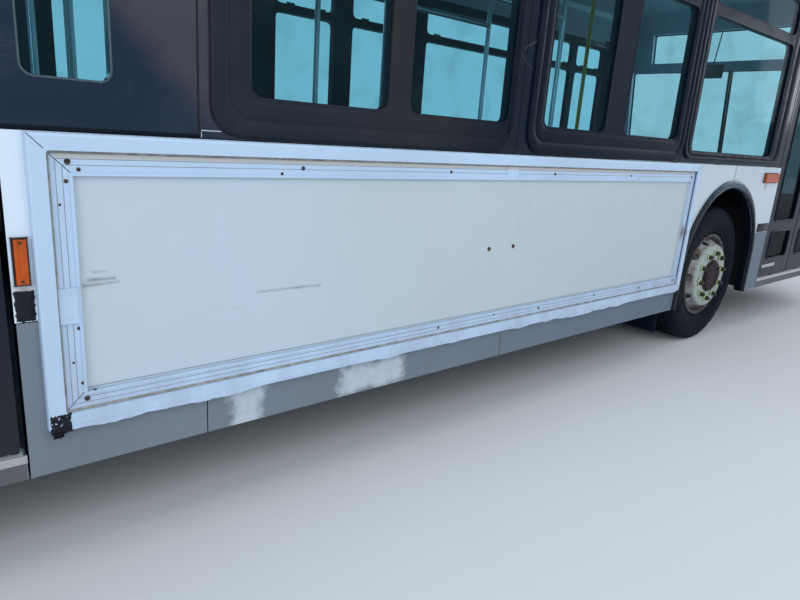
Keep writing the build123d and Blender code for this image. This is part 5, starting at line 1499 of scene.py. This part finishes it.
class BUS_OT_saloon(bpy.types.Operator):
    """Seat inserts and grab bars, light coves, the yellow poles and the inside mirror"""
    bl_idname = "bus.saloon"
    bl_label = "Saloon"

    # Double seats: x of the cushion's front edge, y of the middle, floor level
    SEATS = (
        *((x, y, 0.370) for y in (-0.760, 0.760) for x in (2.300, 1.540, 0.780, 0.020)),
        (-0.740, 0.760, 0.370), (-1.500, 0.760, 0.370),
        *((x, y, 0.750) for y in (-0.760, 0.760) for x in (-3.560, -4.300)),
    )
    HALF_PITCH, HALF_INSERT = 0.2225, 0.185
    # The driver's seat: x, y, floor level and half its insert's width
    DRIVER = (5.010, 0.640, 0.520, 0.205)
    # Lines along a seat's cushion and back, (x, z), and which way the padding rises
    PADS = ((((-0.030, 0.4475), (-0.180, 0.4395), (-0.345, 0.4305)), (0.0, 0.018)),
            (((-0.373, 0.500), (-0.4155, 0.700), (-0.450, 0.870)), (0.018, 0.004)))
    # Across a pad: (share of its half width, share of the padding)
    CROWN = ((-1, 0.3), (-0.92, 0.9), (0, 1.0), (0.92, 0.9), (1, 0.3))
    # Half a grab bar over the seat: x and y from the seat, z over its top
    BAR = ((-0.49, 0.40, -0.07), (-0.495, 0.40, 0.03), (-0.50, 0.33, 0.085))
    SEAT_TOP = 0.965
    # Sections of the coves and light tubes under the ceiling, (y, z), with their x spans
    COVE = ((1.205, 2.500), (1.205, 2.560), (1.00, 2.790), (0.78, 2.835), (0.76, 2.800), (0.93, 2.745))
    COVE_X = (-4.80, 5.30)
    LIGHT = ((0.99, 2.702), (0.94, 2.735), (0.93, 2.722), (0.975, 2.685))
    LIGHT_X = (-4.70, 5.20)
    POLE = ((0.372, 0.030), (0.378, 0.030), (0.384, 0.0185), (2.78, 0.0185), (2.786, 0.028),
            (2.80, 0.028))
    POLES_X, POLES_Y = 3.99, (-0.52, 0.52)
    MIRROR = ((5.575, -0.06, 2.130), (5.597, 0.17, 2.270))
    MIRROR_STALK = ((5.590, 0.055, 2.26), (5.62, 0.055, 2.40), (5.66, 0.055, 2.60))

    def pads(self, shape, x, y, z, half):
        """A seat's cloth cushion and back."""
        for line, rise in self.PADS:
            rings = []
            for across, crown in self.CROWN:
                at = y + half * across
                under = [(x + a, at, z + b) for a, b in line]
                over = [(x + a + rise[0] * crown, at, z + b + rise[1] * crown)
                        for a, b in reversed(line)]
                rings.append(under + over)
            shape.sweep(rings)

    def execute(self, context):
        inserts, bars, coves, tubes, poles, mirror = (Shape() for _ in range(6))
        for x, y, z in self.SEATS:
            for way in (-1, 1):
                self.pads(inserts, x, y + way * self.HALF_PITCH, z, self.HALF_INSERT)
            top = z + self.SEAT_TOP
            half_bar = [(x + a, -b, top + c) for a, b, c in self.BAR]
            other = [(a, -b, c) for a, b, c in reversed(half_bar)]
            bars.tube([(a, y + b, c) for a, b, c in half_bar + other], 0.014, 10)
        self.pads(inserts, *self.DRIVER)
        inserts.piece("seat_inserts", "seat_cloth", 35)
        bars.piece("seat_grab_bars", "stainless", 50)
        for side in (KERB, STREET):
            for shape, section, span in ((coves, self.COVE, self.COVE_X),
                                         (tubes, self.LIGHT, self.LIGHT_X)):
                shape.sweep([[(x, side * y, z) for y, z in section] for x in span])
        coves.piece("ceiling_coves", "lining_grey", 20)
        tubes.piece("saloon_lights", "lamp_strip", 20)
        for y in self.POLES_Y:
            poles.turned(self.POLE, (self.POLES_X, y, 0), (0, 0, 1), 20)
        poles.piece("yellow_poles", "pole_yellow", 40)
        mirror.box(*self.MIRROR, 0.012)
        mirror.tube(self.MIRROR_STALK, 0.006)
        mirror.piece("inside_mirror", "console_plastic", 35)
        return {"FINISHED"}


class BUS_OT_ends(bpy.types.Operator):
    """Wiper blades, screen rubbers, mud flaps and the front's seams"""
    bl_idname = "bus.ends"
    bl_label = "Ends and underside"

    # y and z spans of the panes in front: the two screens and the sign; and of the rear one
    FRONT_PANES = ((-1.12, -0.012, 1.010, 2.240), (0.012, 1.12, 1.010, 2.240),
                   (-0.90, 0.90, 2.330, 2.640))
    REAR_PANE = (-0.76, 0.76, 1.560, 2.250)
    REAR_X = -6.0585
    RUBBER_R = 0.010
    STEP = 0.04
    # Mud flaps behind the wheels: (x, top z)
    FLAPS = ((2.700, 0.338), (-3.485, 0.716))
    FLAP_Y, FLAP_FOOT_Z, FLAP_THICK = (0.80, 1.215), 0.150, 0.008
    WIPERS_Y, BLADE_R, BLADE_STEPS = (-0.56, 0.56), 0.0055, 8
    SEAMS_Z, SEAM_R, SEAM_HALF, SEAM_STEPS = (0.92, 0.64), 0.002, 1.20, 48

    def along(self, loop):
        """A closed line's points with more between, so that it can follow the curved front."""
        points = []
        for (ya, za), (yb, zb) in zip(loop, loop[1:] + loop[:1]):
            steps = max(1, int(math.hypot(yb - ya, zb - za) / self.STEP))
            points += [(ya + (yb - ya) * k / steps, za + (zb - za) * k / steps) for k in range(steps)]
        return points

    def execute(self, context):
        blades, rubber, flaps, seams = Shape(), Shape(), Shape(), Shape()
        for y in self.WIPERS_Y:
            ups = [k / self.BLADE_STEPS for k in range(self.BLADE_STEPS + 1)]
            places = [(y - 0.060 + 0.040 * up, 1.2 + 0.7 * up) for up in ups]
            blades.tube([(front_x(z) + 0.012, at, z) for at, z in places], self.BLADE_R, 6)
        blades.piece("wiper_rubbers", "rubber_black", 40)
        for pane in self.FRONT_PANES:
            points = self.along(rounded_loop(*pane, 0.02, 3))
            rubber.tube([(front_x(z, y) - 0.002, y, z) for y, z in points], self.RUBBER_R, closed=True)
        loop = rounded_loop(*self.REAR_PANE, 0.03, 4)
        rubber.tube([(self.REAR_X, y, z) for y, z in loop], self.RUBBER_R, closed=True)
        rubber.piece("screen_rubbers", "rubber_black", 45)
        for side in (KERB, STREET):
            for x, top in self.FLAPS:
                y0, y1 = sorted(side * y for y in self.FLAP_Y)
                flaps.box((x, y0, self.FLAP_FOOT_Z), (x + self.FLAP_THICK, y1, top), 0.002)
        flaps.piece("mud_flaps", "rubber_black", 20)
        for z in self.SEAMS_Z:
            across = [self.SEAM_HALF * (2 * k / self.SEAM_STEPS - 1)
                      for k in range(self.SEAM_STEPS + 1)]
            seams.tube([(front_x(z, y) + 0.0006, y, z) for y in across], self.SEAM_R, 6)
        seams.piece("front_seams", "tape_black", 40)
        return {"FINISHED"}


OPERATORS = (BUS_OT_stage, BUS_OT_paint, BUS_OT_tyres, BUS_OT_wheels, BUS_OT_flares, BUS_OT_gaskets,
             BUS_OT_bands, BUS_OT_ad_frames, BUS_OT_lamps, BUS_OT_doors, BUS_OT_saloon, BUS_OT_ends)


class BUS_PT_panel(bpy.types.Panel):
    """The bus's sizes, colours and steps"""
    bl_label = "City bus"
    bl_space_type = "VIEW_3D"
    bl_region_type = "UI"
    bl_category = "City bus"

    def draw(self, context):
        for group in (context.scene.bus_sizes, context.scene.bus_colours):
            for name in group.__annotations__:
                self.layout.prop(group, name)
        for cls in OPERATORS:
            self.layout.operator(cls.bl_idname)


CLASSES = (BusSizes, BusColours, *OPERATORS, BUS_PT_panel)


def register():
    for cls in CLASSES:
        bpy.utils.register_class(cls)
    bpy.types.Scene.bus_sizes = PointerProperty(type=BusSizes)
    bpy.types.Scene.bus_colours = PointerProperty(type=BusColours)


def unregister():
    del bpy.types.Scene.bus_colours
    del bpy.types.Scene.bus_sizes
    for cls in reversed(CLASSES):
        bpy.utils.unregister_class(cls)


def main():
    register()
    random.seed(bpy.context.scene.bus_sizes.seed)
    for cls in OPERATORS:
        module, name = cls.bl_idname.split(".")
        getattr(getattr(bpy.ops, module), name)()


if __name__ == "__main__":
    main()
